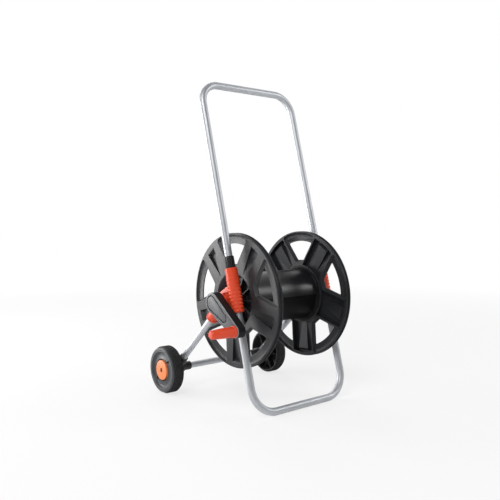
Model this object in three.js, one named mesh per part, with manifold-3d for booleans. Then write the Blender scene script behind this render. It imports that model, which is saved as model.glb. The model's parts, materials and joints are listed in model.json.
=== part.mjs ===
// Garden hose reel cart: a leaning tube frame on two wheels that carries a hose drum with a crank.
// Millimetres. +Z is up, -X is the crank side, +Y is the wheel side.
// The origin is the middle of the line on which the foot bar rests on the ground.

import * as THREE from 'three';
import { ConvexGeometry } from 'three/addons/geometries/ConvexGeometry.js';
import { mergeVertices } from 'three/addons/utils/BufferGeometryUtils.js';
import Module from 'manifold-3d';

const wasm = await Module();
wasm.setup();

const radians = THREE.MathUtils.degToRad;
const lerp = THREE.MathUtils.lerp;
const { PI, sin, cos, asin } = Math;

// ---------------------------------------------------------------- driving dimensions

// Clearances
const seatGap = 0.3;             // between two pieces that touch or turn on each other
const weldDistance = 0.0005;     // points closer than this are one point of a mesh
const overshoot = 1;             // how far a cutting tool runs past the face that it cuts

// Frame loop: two bent tubes in one leaning plane
const frameTubeRadius = 10;
const frameTubeWall = 1.5;
const frameTubeSides = 12;
const frameWidth = 324;          // between the axes of the two uprights
const frameHeight = 880;
const frameLean = radians(14.8); // of the uprights, towards the wheels
const handleCornerRadius = 57;
const footCornerRadius = 68;
const cornerSteps = 5;

// Hose drum
const drumAxisHeight = 285;
const drumAxisOffset = 52.45;    // behind the uprights' axes, square to them
const uprightToFlange = 48;      // from an upright's axis in to the face that the hose lies against
const flangeThickness = 16;
const flangeRadius = 180;
const flangeSkin = 3;            // of the spokes' faces
const flangeWall = 3;            // of the walls behind them
const flangeWeb = 3;             // the sheet half way through, around the openings
const rimSides = 48;
const rimInnerLip = 3;           // widths of the rim's two lips
const rimOuterLip = 4.5;
const rimGrooveDepth = 3;        // between the lips
const rimBevel = 2;
const rimFaceWidth = 4;          // of the flat edge that the rim shows on either side
const rimSlopeWidth = 8;         // from there down to the web
const rimBandWidth = 28;         // from the rim to the openings
const spokeCount = 5;
const spokeTurn = radians(33);   // of the first spoke, from straight up towards the foot bar
const spokeHalfWidth = 47;       // at the web
const spokeBevel = 5;            // by which a spoke narrows towards either face
const openingEdge = 1;           // width of the web's edge along an opening's sides
const openingInnerReach = 97;    // from the axis to the flat inner end of an opening
const openingFillet = 3;
const troughStart = 80;          // the hollow in a spoke's outer face deepens from here
const troughStartHalfWidth = 13;
const troughInset = 16;          // from the rim to the end of the hollow
const troughRamp = 8;            // length of the slope at that end
const troughHalfWidth = 16;
const troughFloorHalfWidth = 14;
const troughDepth = 10;
const spokePocketInset = 9;      // from the rim to the end of the pocket behind a spoke
const hubSides = 20;
const hubRingRadius = 83;
const dishRadius = 74;
const dishFloorRadius = 60;
const dishDepth = 27;
const dishShoulderInset = 4;     // of the first slope inside the dish's edge
const dishShoulderDepth = 6;
const dishFootRise = 9;          // of the last slope, above the dish's floor
const dishFootInset = 2;
const dishRibCount = 10;
const dishRibWidth = 2.5;
const dishRibRise = 16;          // above the floor, at the boss
const dishRibOverlap = 1;        // into the dish's floor
const flangeBossRadius = 21;
const flangeBossTop = 22;
const flangeBossFoot = 25;       // radius at the dish's floor
const flangeBossLength = 8;      // beyond the flange's inner face

// Barrel between the flanges
const barrelSpigotRadius = 66.7; // of the flange's spigot inside the barrel
const barrelSpigotLength = 14;
const barrelWall = 3;
const barrelSides = 24;
const barrelFlare = 10;          // fillet radius where the barrel meets a flange
const barrelSeamAngle = radians(-25); // of the seam's rear end, from level

// Crank shaft, inlet spindle and their bushes
const journalRadius = 9;
const journalSides = 12;
const hexSides = 6;
const shaftHeadRadius = 13;
const shaftHeadLength = 3;
const shaftOverlap = 1;          // of its round and hexagonal lengths
const shaftInset = 5;            // of its end from the crank's outer face
const shaftTapDepth = 20;
const bushWall = 2.7;
const bushLength = 22;
const bushFlangeRadius = 15;
const bushFlangeLength = 1.5;

// Side brackets
const bracketSides = 14;
const sleeveBelowAxis = 37.65;   // from level with the drum's axis, along the upright
const sleeveAboveAxis = 78.35;
const sleeveLowRadius = 13;
const sleeveHighRadius = 15.2;
const sleeveRingCount = 9;
const sleeveRingStep = 1.1;      // how far each saw-tooth ring stands out
const sleeveStopThickness = 4;   // between the ends of the two tubes
const sleeveStopRadius = 7;
const bracketBossRadius = 20;
const bracketBossReach = 16;     // beyond the upright's axis
const legSocketRadius = 16;
const legSocketLength = 80;      // from the drum's axis
const legSocketLip = 1.2;
const legSocketLipLength = 5;
const legSocketLipSlope = 1;
const webThickness = 12;         // of the plate between sleeve, boss and socket
const webFoot = 2;               // its corners on the sleeve, above the sleeve's end
const webTop = 76;
const webShoulder = 8;           // its upper rear corner, along the leg and off its axis
const webShoulderRear = 12;
const webShoulderRise = 27;
const webLegEnd = 52;            // where it ends along the leg
const webUnderside = 34;         // its lower rear corner, along the leg and off its axis
const webUndersideFront = 12;
const webUndersideDrop = 10;
const webNoseFront = 10;         // its lower front corner, from the drum's axis
const webNoseDrop = 17;
const webPocketDepth = 4;
const webPocketMargin = 3;
const webPocketFoot = 34;        // the pocket's corners on the sleeve, above the sleeve's end
const webPocketTop = 59;
const webPocketRear = 9;         // the pocket's other corners, from the drum's axis
const webPocketRise = 23;
const webPocketFront = 18;
const webPocketFrontRise = 14;
const collarRadius = 13;
const collarLength = 31;
const collarFluteCount = 10;
const collarFluteDepth = 1.2;

// Rear legs, axle and their carriers
const legRadius = 9.5;
const legWall = 1.5;
const legSides = 12;
const legStart = 24.6;           // from the drum's axis
const legCarrierReach = 14.6;    // from the axle to the leg's end
const axleSetback = 365;
const axleRodRadius = 5;
const axleRodSides = 12;
const axleRodReach = 46;         // beyond the upright's axis
const axleTubeRadius = 9.5;
const axleTubeSeat = 14;         // depth of its seat in a carrier
const carrierInnerReach = 46;    // from the upright's axis towards the middle
const carrierShoulderReach = 24;
const carrierOuterReach = 13.5;  // from the upright's axis outwards
const carrierRadius = 15;
const carrierCollarRadius = 12.6;
const carrierSocketRadius = 13;
const carrierSocketLength = 58;
const carrierSocketTaper = 1.5;
const carrierSocketTaperLength = 4;
const washerRadius = 10;
const washerThickness = 1.5;
const nutFlangeRadius = 8;
const nutFlangeLength = 3;
const nutTipRadius = 5.5;
const nutTipLength = 1.8;        // beyond the rod's end

// Wheels
const wheelRadius = 67.5;
const wheelWidth = 38;
const wheelReach = 52.5;         // from the upright's axis to the wheel's outer face
const wheelSides = 28;
const wheelEdgeInset = 4;        // of the bevel at the tread's edges
const wheelEdgeLength = 4.5;
const wheelTreadWall = 7.5;
const wheelRingWidth = 14.5;     // of the flat ring on the outer face
const wheelDishInset = 3;        // of the slope inside it
const wheelDishDepth = 5;        // at the slope's foot
const wheelDishFloor = 8;        // at the hub cap
const wheelDiscWall = 4;
const wheelHubRadius = 11;
const wheelHubDrop = 4;          // of the disc's back towards the hub
const wheelRibCount = 6;
const wheelRibWidth = 2.5;
const wheelRibOverlap = 1;       // into the walls that a rib joins
const wheelRibInset = 1;         // from the inner face, at the hub
const wheelRibSlope = 3;         // how much more at the tread
const capSeatDepth = 12;
const capWallRise = 4.5;         // depth of the edge around the hub cap, below the outer face
const capWallFoot = 3.5;         // width of that edge's foot
const hubCapSides = 20;
const hubCapRadius = 30;
const hubCapHoleRadius = 6.5;
const hubCapThickness = 2;
const hubCapBevel = 1.5;
const hubCapDrop = 0.5;          // behind the wheel's outer face

// Crank
const crankLength = 114;
const crankTurn = radians(122.6); // from straight up towards the foot bar
const crankReach = 18;           // from the upright's axis to the crank's open side
const crankDepth = 23;
const crankWall = 3;
const crankPlate = 4;
const crankBevel = 2.5;
const crankHubRadius = 27;
const crankTipRadius = 17;
const crankBossRadius = 13;
const crankTipBossRadius = 9;
const crankTipBossInset = 4;     // of the tip's boss from the open side
const crankBossOverlap = 1;      // of both bosses into the plate
const inlayLength = 62;
const inlayHubRadius = 20;
const inlayTipRadius = 12;
const inlayDepth = 1.5;
const gripLength = 77;
const gripBaseRadius = 14.5;
const gripTipRadius = 11.5;
const gripCollarStep = 1;
const gripCollarLength = 5;
const gripWaistEnd = 12;
const gripTipLength = 4;         // of its rounded end
const gripTipCrown = 0.8;
const gripTipBevel = 2;
const gripTipRounding = 5;
const gripSides = 16;
const gripPinRadius = 5;
const gripPinLength = 60;        // beyond the crank's outer face
const gripPinHeadRadius = 7.5;
const gripPinHeadLength = 2.5;

// Water joint
const waterBore = 5;
const sealThickness = 1.6;
const sealSteps = 4;
const elbowHubRadius = 13;
const elbowReach = 54;           // from the drum's axis down to the end of the inlet
const elbowSkirt = 32;           // length of the inlet's thick part
const elbowSkirtRadius = 10.5;
const elbowOuterReach = 39;      // from the upright's axis to the elbow's outer face
const elbowAxisReach = 28;       // from the upright's axis to the inlet's axis
const elbowSocketInset = 1.7;    // of the socket's floor from the inlet's axis
const spindleEndInset = 2;
const inletSealReach = 22;       // from the upright's axis to the outer seal
const swivelSealInset = 24;      // from the flange's inner face in to the inner seal
const spindleInset = 30;
const outletInset = 44;          // from the flange's inner face in to the outlet's axis
const outletHubRadius = 14;
const outletHubBack = 11;        // of the hub beyond the outlet's axis
const outletSkirtRadius = 9.5;
const outletSkirtInset = 3;      // of the thick part from the barrel's spigot
const outletReach = 92;          // from the drum's axis to the end of the outlet
const nippleRadius = 8.5;
const nippleGrooveRadius = 7;
const nippleTipLength = 5;
const nippleGrooveStart = 12;    // from the nipple's end
const nippleGrooveLength = 3.5;
const nippleGrooveSlope = 0.5;

// Screws
const screwHeadRadius = 4.2;
const screwHeadLength = 2.6;
const screwHeadBevel = 1;
const screwShankRadius = 2;
const screwLength = 11;
const screwSides = 8;
const crankScrewDepth = 16;      // into the shaft
const crankScrewWall = 1;        // between the shaft's end and the screw's head
const crankScrewHeadLength = 1.4;
const sleeveScrewOffset = 36;    // from the joint of the two tubes
const legScrewPlace = 62;        // from the drum's axis
const carrierScrewPlace = 42;    // from the axle
const sleeveScrewSink = 3;       // thickness of the wall under the head
const legScrewSink = 3.5;
const carrierScrewSink = 2;

// ---------------------------------------------------------------- sizes that follow

// A flat of the foot bar lies on the ground.
const frameAxisHeight = frameTubeRadius * cos(PI / frameTubeSides);
const frameReach = (frameHeight - frameTubeRadius - frameAxisHeight) / cos(frameLean);
const uprightX = frameWidth / 2;

const drumRise = drumAxisHeight - frameAxisHeight;
const drumAxisSetback = (drumAxisOffset + drumRise * sin(frameLean)) / cos(frameLean);
const drumPlace = (drumRise + drumAxisOffset * sin(frameLean)) / cos(frameLean);  // along the upright
const axle = new THREE.Vector2(axleSetback, wheelRadius);        // in the (Y, Z) plane
const drumAxis = new THREE.Vector2(drumAxisSetback, drumAxisHeight);
const legSpan = axle.distanceTo(drumAxis);
const legAngle = axle.clone().sub(drumAxis).angle();             // of a leg's direction in the (Y, Z) plane

const flangeInnerFace = uprightX - uprightToFlange;              // from the drum's middle
const flangeBossEnd = flangeInnerFace + flangeBossLength;
const flangeBack = flangeInnerFace - barrelSpigotLength;         // inner end of a flange's boss
const flangeWebLow = (flangeThickness - flangeWeb) / 2;          // from the flange's inner face
const flangeWebHigh = (flangeThickness + flangeWeb) / 2;
const openingReach = flangeRadius - rimBandWidth;
const recessReach = flangeRadius - rimFaceWidth;                 // at the flange's face
const dishFloor = flangeThickness - dishDepth;                   // from the flange's inner face

const sleeveLow = drumPlace - sleeveBelowAxis;
const sleeveHigh = drumPlace + sleeveAboveAxis;
const tubeJoint = (sleeveLow + sleeveHigh) / 2;
const handleScrewPlace = tubeJoint + sleeveScrewOffset;
const footScrewPlace = tubeJoint - sleeveScrewOffset;
const lowScrewPlace = legSpan - carrierScrewPlace;               // from the drum's axis
const sleeveScrewSeat = uprightX - frameTubeRadius - sleeveScrewSink;
const legScrewSeat = uprightX - legRadius - legScrewSink;
const carrierScrewSeat = uprightX - legRadius - carrierScrewSink;

const bushBore = holeRadius(journalRadius, journalSides);
const bushOuterRadius = journalRadius + bushWall;
const bushFlangeStart = flangeBossEnd + seatGap;
const bracketBossInner = bushFlangeStart + bushFlangeLength + seatGap;
const bracketBossOuter = uprightX + bracketBossReach;

const carrierInner = uprightX - carrierInnerReach;
const carrierShoulder = uprightX - carrierShoulderReach;
const carrierOuter = uprightX + carrierOuterReach;
const axleTubeEnd = carrierInner + axleTubeSeat;
const axleRodEnd = uprightX + axleRodReach;
const wheelOuterFace = uprightX + wheelReach;
const wheelInnerFace = wheelOuterFace - wheelWidth;
const wheelHubStart = carrierOuter + seatGap;
const capSeat = wheelOuterFace - capSeatDepth;
const capRecessRadius = holeRadius(hubCapRadius, wheelSides);
const washerStart = capSeat + seatGap;

const crankInner = uprightX + crankReach;
const crankOuter = crankInner + crankDepth;
const shaftEnd = crankOuter - shaftInset;
const crankScrewSeat = shaftEnd + crankScrewWall;
const gripAxis = new THREE.Vector2(
  drumAxis.x - crankLength * sin(crankTurn), drumAxis.y + crankLength * cos(crankTurn));

const elbowOuter = uprightX + elbowOuterReach;
const elbowMiddle = uprightX + elbowAxisReach;
const inletSealMiddle = uprightX + inletSealReach;
const swivelSealMiddle = flangeInnerFace - swivelSealInset;
const spindleInner = flangeInnerFace - spindleInset;
const outletX = flangeInnerFace - outletInset;

// ---------------------------------------------------------------- solids

// A radius for a round hole with this many sides that clears a shaft all round.
function holeRadius(shaftRadius, sides, gap = seatGap) {
  return (shaftRadius + gap) / cos(PI / sides);
}

// Six times the volume inside a closed mesh, negative when its faces point inwards.
function signedVolume(points, corners) {
  const [a, b, c] = [new THREE.Vector3(), new THREE.Vector3(), new THREE.Vector3()];
  let volume = 0;
  for (let i = 0; i < corners.length; i += 3) {
    a.fromArray(points, corners[i] * 3);
    b.fromArray(points, corners[i + 1] * 3);
    c.fromArray(points, corners[i + 2] * 3);
    volume += a.dot(b.cross(c));
  }
  return volume;
}

// Keeps only the places of a geometry's points, with one point wherever its faces meet.
function welded(geometry) {
  geometry.deleteAttribute('normal');
  geometry.deleteAttribute('uv');
  return mergeVertices(geometry, weldDistance);
}

// Turns a closed, welded geometry into a solid that can be joined and cut.
function solid(geometry) {
  const points = new Float32Array(geometry.getAttribute('position').array);
  const index = geometry.getIndex().array;
  const corners = [];
  for (let i = 0; i < index.length; i += 3) {
    const [a, b, c] = [index[i], index[i + 1], index[i + 2]];
    if (a !== b && b !== c && c !== a) corners.push(a, b, c);
  }
  if (signedVolume(points, corners) < 0) corners.reverse();
  const mesh = new wasm.Mesh({ numProp: 3, vertProperties: points, triVerts: new Uint32Array(corners) });
  return new wasm.Manifold(mesh);
}

function geometryOf(body) {
  const mesh = body.asOriginal().simplify(weldDistance).getMesh();
  const geometry = new THREE.BufferGeometry();
  geometry.setAttribute('position', new THREE.BufferAttribute(new Float32Array(mesh.vertProperties), 3));
  geometry.setIndex(new THREE.BufferAttribute(new Uint32Array(mesh.triVerts), 1));
  return geometry;
}

function join(...geometries) {
  return geometryOf(geometries.map(solid).reduce((whole, next) => whole.add(next)));
}

function cut(base, ...tools) {
  return geometryOf(tools.map(solid).reduce((rest, tool) => rest.subtract(tool), solid(base)));
}

function common(first, second) {
  return geometryOf(solid(first).intersect(solid(second)));
}

// The same geometry on the other side of the cart.
function mirrored(geometry) {
  const copy = geometry.clone();
  copy.scale(-1, 1, 1);
  copy.setIndex(Array.from(copy.getIndex().array).reverse());
  return copy;
}

// ---------------------------------------------------------------- outlines

function point(x, y) {
  return new THREE.Vector2(x, y);
}

function arc(centreX, centreY, radius, from, to, steps) {
  return Array.from({ length: steps + 1 }, (_, i) => {
    const angle = lerp(from, to, i / steps);
    return point(centreX + radius * cos(angle), centreY + radius * sin(angle));
  });
}

// Two circles and the tangents around them: the big one at the origin, the small one above it.
function taperedOutline(bigRadius, smallRadius, length, steps = 6) {
  const tangent = asin((bigRadius - smallRadius) / length);
  return [
    ...arc(0, length, smallRadius, tangent, PI - tangent, steps),
    ...arc(0, 0, bigRadius, PI - tangent, 2 * PI + tangent, 2 * steps),
  ];
}

// The space between two spokes, above the axis, widened by a margin all round but at its outer end.
function betweenSpokes(outerRadius, margin) {
  const half = PI / spokeCount;                       // from the opening's middle to a spoke's middle
  const reach = spokeHalfWidth - margin;              // from a spoke's middle to the opening's side
  const fillet = openingFillet + margin;
  const outerTurn = half - asin((reach + fillet) / (outerRadius - fillet));
  const outerX = (outerRadius - fillet) * sin(outerTurn);
  const outerY = (outerRadius - fillet) * cos(outerTurn);
  const innerY = openingInnerReach - margin + fillet;
  const innerX = (innerY * sin(half) - reach - fillet) / cos(half);
  return [
    ...arc(outerX, outerY, fillet, -half, PI / 2 - outerTurn, 2),
    ...arc(0, 0, outerRadius, PI / 2 - outerTurn, PI / 2 + outerTurn, 5).slice(1, -1),
    ...arc(-outerX, outerY, fillet, PI / 2 + outerTurn, PI + half, 2),
    ...arc(-innerX, innerY, fillet, PI + half, 1.5 * PI, 2),
    ...arc(innerX, innerY, fillet, 1.5 * PI, 2 * PI - half, 2),
  ];
}

// ---------------------------------------------------------------- geometries

// Lofts a solid through outlines with equally many points, each { outline, height }, along local Z.
function stack(layers) {
  const count = layers[0].outline.length;
  if (THREE.ShapeUtils.isClockWise(layers[0].outline)) layers.forEach(({ outline }) => outline.reverse());
  const positions = layers.flatMap(({ outline, height }) => outline.flatMap((p) => [p.x, p.y, height]));
  const index = [];
  for (let layer = 0; layer + 1 < layers.length; layer++) {
    for (let i = 0; i < count; i++) {
      const low = layer * count;
      const next = (i + 1) % count;
      index.push(low + i, low + next, low + count + next);
      index.push(low + i, low + count + next, low + count + i);
    }
  }
  const top = (layers.length - 1) * count;
  for (const [a, b, c] of THREE.ShapeUtils.triangulateShape(layers[0].outline, [])) index.push(c, b, a);
  for (const [a, b, c] of THREE.ShapeUtils.triangulateShape(layers.at(-1).outline, [])) {
    index.push(top + a, top + b, top + c);
  }
  const geometry = new THREE.BufferGeometry();
  geometry.setAttribute('position', new THREE.Float32BufferAttribute(positions, 3));
  geometry.setIndex(index);
  return geometry;
}

function prism(outline, low, high) {
  return stack([{ outline: [...outline], height: low }, { outline: [...outline], height: high }]);
}

// Revolves a closed profile of (radius, height) about local Y.
function revolve(profile, sides) {
  return welded(new THREE.LatheGeometry([...profile, profile[0]], sides));
}

function disc(radius, low, high, sides) {
  return revolve([point(0, low), point(radius, low), point(radius, high), point(0, high)], sides);
}

function ring(inner, outer, low, high, sides) {
  return revolve([point(inner, low), point(outer, low), point(outer, high), point(inner, high)], sides);
}

// Local X, Y and Z become the cart's Y, Z and X, about an axis at a place in the (Y, Z) plane.
function facingOut(geometry, place, turn = 0) {
  const basis = new THREE.Matrix4().makeBasis(
    new THREE.Vector3(0, 1, 0), new THREE.Vector3(0, 0, 1), new THREE.Vector3(1, 0, 0));
  geometry.rotateZ(turn);
  geometry.applyMatrix4(basis);
  return geometry.translate(0, place.x, place.y);
}

// Local Y, the axis of a revolved geometry, becomes the cart's X.
function onAxle(geometry, place) {
  geometry.rotateX(PI / 2);
  return facingOut(geometry, place);
}

// Local Y becomes the direction of an upright, and local zero is on the foot bar's axis.
function onUpright(geometry, x = uprightX) {
  geometry.rotateX(PI / 2 - frameLean);
  return geometry.translate(x, 0, frameAxisHeight);
}

// Local Y becomes the direction at an angle in the (Y, Z) plane, from a place in it.
function alongRay(geometry, place, angle, x = uprightX) {
  geometry.rotateX(angle);
  return geometry.translate(x, place.x, place.y);
}

// A point on a leg's axis, counted from the drum's axis.
function onLeg(distance) {
  return point(drumAxis.x + distance * cos(legAngle), drumAxis.y + distance * sin(legAngle));
}

// A point on an upright's axis, counted from the foot bar's axis.
function onFrame(distance) {
  return point(distance * sin(frameLean), frameAxisHeight + distance * cos(frameLean));
}

// A path of straight pieces between stations, so that a long straight takes one step.
class StationPath extends THREE.Curve {
  constructor(stations) {
    super();
    this.stations = stations;
  }

  getPoint(t, target = new THREE.Vector3()) {
    const last = this.stations.length - 1;
    const place = Math.min(Math.max(t, 0), 1) * last;
    const index = Math.min(Math.floor(place), last - 1);
    return target.lerpVectors(this.stations[index], this.stations[index + 1], place - index);
  }

  getUtoTmapping(u) {
    return u;
  }
}

// ---------------------------------------------------------------- frame

// One bent tube of the loop, from the brackets around two corners with a bar between them.
function bentTube(legEnd, barPlace, cornerRadius) {
  const side = Math.sign(barPlace - legEnd);
  const centreX = uprightX - cornerRadius;
  const centreY = barPlace - side * cornerRadius;
  const corner = arc(0, 0, cornerRadius, PI, PI / 2, cornerSteps);
  const left = corner.map((p) => new THREE.Vector3(p.x - centreX, centreY + side * p.y, 0));
  const right = corner.map((p) => new THREE.Vector3(centreX - p.x, centreY + side * p.y, 0)).reverse();
  const ends = [new THREE.Vector3(-uprightX, legEnd, 0), new THREE.Vector3(uprightX, legEnd, 0)];
  const stations = [ends[0], ...left, ...right, ends[1]];
  const flatTurn = frameLean - PI / 2 + PI / frameTubeSides;   // puts a flat of the tube on the ground
  const section = new THREE.Shape(ringPoints(frameTubeRadius, frameTubeSides, flatTurn));
  section.holes.push(new THREE.Path(ringPoints(frameTubeRadius - frameTubeWall, frameTubeSides, flatTurn)));
  const tube = new THREE.ExtrudeGeometry(section, {
    steps: stations.length - 1, extrudePath: new StationPath(stations), bevelEnabled: false,
  });
  return onUpright(welded(tube), 0);
}

function ringPoints(radius, sides, turn = 0) {
  return arc(0, 0, radius, turn, turn + 2 * PI, sides).slice(0, -1);
}

function handleTube() {
  const tube = bentTube(tubeJoint + sleeveStopThickness / 2 + seatGap, frameReach, handleCornerRadius);
  return cut(tube, ...bothSides(screwHole(onFrame(handleScrewPlace))));
}

function footTube() {
  const tube = bentTube(tubeJoint - sleeveStopThickness / 2 - seatGap, 0, footCornerRadius);
  return cut(tube, ...bothSides(screwHole(onFrame(footScrewPlace))));
}

function bothSides(geometry) {
  return [geometry, mirrored(geometryOf(solid(geometry)))];
}

// A fluted ring around the handle tube, on top of a bracket's sleeve.
function handleCollar() {
  const low = sleeveHigh + seatGap;
  const flutes = Array.from({ length: 2 * collarFluteCount }, (_, i) => {
    const angle = i * PI / collarFluteCount;
    const radius = collarRadius - (i % 2) * collarFluteDepth;
    return point(radius * cos(angle), radius * sin(angle));
  });
  const body = prism(flutes, low, low + collarLength).rotateX(-PI / 2);
  const bore = disc(holeRadius(frameTubeRadius, bracketSides), low - overshoot,
    low + collarLength + overshoot, bracketSides);
  return onUpright(cut(body, bore));
}

// ---------------------------------------------------------------- screws

function screw(place, seat) {
  const head = seat - seatGap - screwHeadLength;
  const profile = [
    point(0, head), point(screwHeadRadius - screwHeadBevel, head),
    point(screwHeadRadius, head + screwHeadBevel),
    point(screwHeadRadius, seat - seatGap), point(screwShankRadius, seat - seatGap),
    point(screwShankRadius, seat + screwLength), point(0, seat + screwLength),
  ];
  return onAxle(revolve(profile, screwSides), place);
}

function screwHole(place) {
  const radius = holeRadius(screwShankRadius, screwSides);
  return onAxle(disc(radius, uprightX - 2 * frameTubeRadius, uprightX, screwSides), place);
}

function screwSeat(place, seat) {
  const radius = holeRadius(screwHeadRadius, screwSides);
  return onAxle(disc(radius, uprightX - 2 * frameTubeRadius, seat, screwSides), place);
}

// ---------------------------------------------------------------- side brackets

function sleeveProfile() {
  const profile = [point(0, sleeveLow), point(sleeveLowRadius, sleeveLow)];
  for (let i = 0; i < sleeveRingCount; i++) {
    const radius = lerp(sleeveLowRadius, sleeveHighRadius, i / (sleeveRingCount - 1));
    const low = lerp(sleeveLow, sleeveHigh, i / sleeveRingCount);
    const high = lerp(sleeveLow, sleeveHigh, (i + 1) / sleeveRingCount);
    if (i > 0) profile.push(point(radius, low));
    profile.push(point(radius + sleeveRingStep, high));
  }
  return [...profile, point(0, sleeveHigh)];
}

function bracket() {
  const sleeve = onUpright(revolve(sleeveProfile(), bracketSides));
  const socketEnd = legSocketLength;
  const lip = legSocketRadius + legSocketLip;
  const lipStart = socketEnd - legSocketLipLength;
  const socket = alongRay(revolve([
    point(0, 0), point(legSocketRadius, 0), point(legSocketRadius, lipStart - legSocketLipSlope),
    point(lip, lipStart), point(lip, socketEnd), point(0, socketEnd),
  ], bracketSides), drumAxis, legAngle);
  const boss = onAxle(disc(bracketBossRadius, bracketBossInner, bracketBossOuter, bracketSides), drumAxis);
  const webOuter = uprightX + webThickness / 2;
  const webOutline = [
    onFrame(sleeveLow + webFoot), onFrame(sleeveLow + webTop),
    onLeg(webShoulder).add(point(webShoulderRear, webShoulderRise)), onLeg(webLegEnd),
    onLeg(webUnderside).add(point(-webUndersideFront, -webUndersideDrop)),
    drumAxis.clone().add(point(-webNoseFront, -webNoseDrop)),
  ];
  const web = facingOut(prism(webOutline, uprightX - webThickness / 2, webOuter), point(0, 0));
  const pocketOutline = inset([
    onFrame(sleeveLow + webPocketTop), drumAxis.clone().add(point(webPocketRear, webPocketRise)),
    drumAxis.clone().add(point(-webPocketFront, webPocketFrontRise)), onFrame(sleeveLow + webPocketFoot),
  ], webPocketMargin);
  const pocket = facingOut(
    prism(pocketOutline, webOuter - webPocketDepth, webOuter + overshoot), point(0, 0));
  const whole = join(sleeve, socket, boss, web);
  const tubeBore = holeRadius(frameTubeRadius, bracketSides);
  const legBore = holeRadius(legRadius, bracketSides);
  return cut(whole, pocket,
    onUpright(disc(tubeBore, tubeJoint + sleeveStopThickness / 2, sleeveHigh + overshoot, bracketSides)),
    onUpright(disc(tubeBore, sleeveLow - overshoot, tubeJoint - sleeveStopThickness / 2, bracketSides)),
    onUpright(disc(sleeveStopRadius, sleeveLow, sleeveHigh, bracketSides)),
    alongRay(disc(legBore, legStart - seatGap, socketEnd + overshoot, bracketSides), drumAxis, legAngle),
    screwSeat(onFrame(handleScrewPlace), sleeveScrewSeat), screwHole(onFrame(handleScrewPlace)),
    screwSeat(onFrame(footScrewPlace), sleeveScrewSeat), screwHole(onFrame(footScrewPlace)),
    screwSeat(onLeg(legScrewPlace), legScrewSeat), screwHole(onLeg(legScrewPlace)));
}

// Moves each corner of an outline towards the outline's middle.
function inset(outline, margin) {
  const middle = outline.reduce((sum, p) => sum.add(p), point(0, 0)).divideScalar(outline.length);
  return outline.map((p) => p.clone().addScaledVector(middle.clone().sub(p).normalize(), margin));
}

// The crank side's bracket carries a bush, the other one holds the inlet spindle.
function crankBracket() {
  const bushSeat = disc(holeRadius(bushOuterRadius, journalSides), bracketBossInner - overshoot,
    bushFlangeStart + bushFlangeLength + bushLength, journalSides);
  const shaftBore = disc(bushBore, bracketBossInner, bracketBossOuter + overshoot, journalSides);
  return cut(bracket(), onAxle(bushSeat, drumAxis), onAxle(shaftBore, drumAxis));
}

function inletBracket() {
  const bore = disc(bushBore, bracketBossInner - overshoot, bracketBossOuter + overshoot, journalSides);
  return cut(bracket(), onAxle(bore, drumAxis));
}

// ---------------------------------------------------------------- rear legs and axle

function rearLeg() {
  const end = legSpan - legCarrierReach;
  const leg = alongRay(ring(legRadius - legWall, legRadius, legStart, end, legSides), drumAxis, legAngle);
  return cut(leg, screwHole(onLeg(legScrewPlace)), screwHole(onLeg(lowScrewPlace)));
}

function axleCarrier() {
  const sides = bracketSides;
  const body = onAxle(disc(carrierRadius, carrierShoulder, carrierOuter, sides), axle);
  const collar = onAxle(disc(carrierCollarRadius, carrierInner, carrierShoulder + overshoot, sides), axle);
  const socket = alongRay(revolve([
    point(0, 0), point(carrierSocketRadius, 0),
    point(carrierSocketRadius, carrierSocketLength - carrierSocketTaperLength),
    point(carrierSocketRadius - carrierSocketTaper, carrierSocketLength), point(0, carrierSocketLength),
  ], sides), axle, legAngle + PI);
  return cut(join(body, collar, socket),
    onAxle(disc(holeRadius(axleRodRadius, axleRodSides), carrierInner, carrierOuter + overshoot,
      axleRodSides), axle),
    onAxle(disc(holeRadius(axleTubeRadius, sides), carrierInner - overshoot, axleTubeEnd + seatGap,
      sides), axle),
    alongRay(disc(holeRadius(legRadius, sides), legCarrierReach - seatGap,
      carrierSocketLength + overshoot, sides), axle, legAngle + PI),
    screwSeat(onLeg(lowScrewPlace), carrierScrewSeat), screwHole(onLeg(lowScrewPlace)));
}

function axleTube() {
  return onAxle(ring(axleTubeRadius - legWall, axleTubeRadius, -axleTubeEnd, axleTubeEnd, legSides), axle);
}

function wheelAxle() {
  return onAxle(disc(axleRodRadius, -axleRodEnd, axleRodEnd, axleRodSides), axle);
}

function axleWasher() {
  return onAxle(ring(holeRadius(axleRodRadius, axleRodSides), washerRadius, washerStart,
    washerStart + washerThickness, axleRodSides), axle);
}

function axleNut() {
  const low = washerStart + washerThickness + seatGap;
  const bore = holeRadius(axleRodRadius, axleRodSides);
  const end = axleRodEnd + seatGap;
  const tip = end + nutTipLength;
  return onAxle(revolve([
    point(0, end), point(bore, end), point(bore, low), point(nutFlangeRadius, low),
    point(nutFlangeRadius, low + nutFlangeLength), point(nutTipRadius, tip), point(0, tip),
  ], axleRodSides), axle);
}

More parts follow.
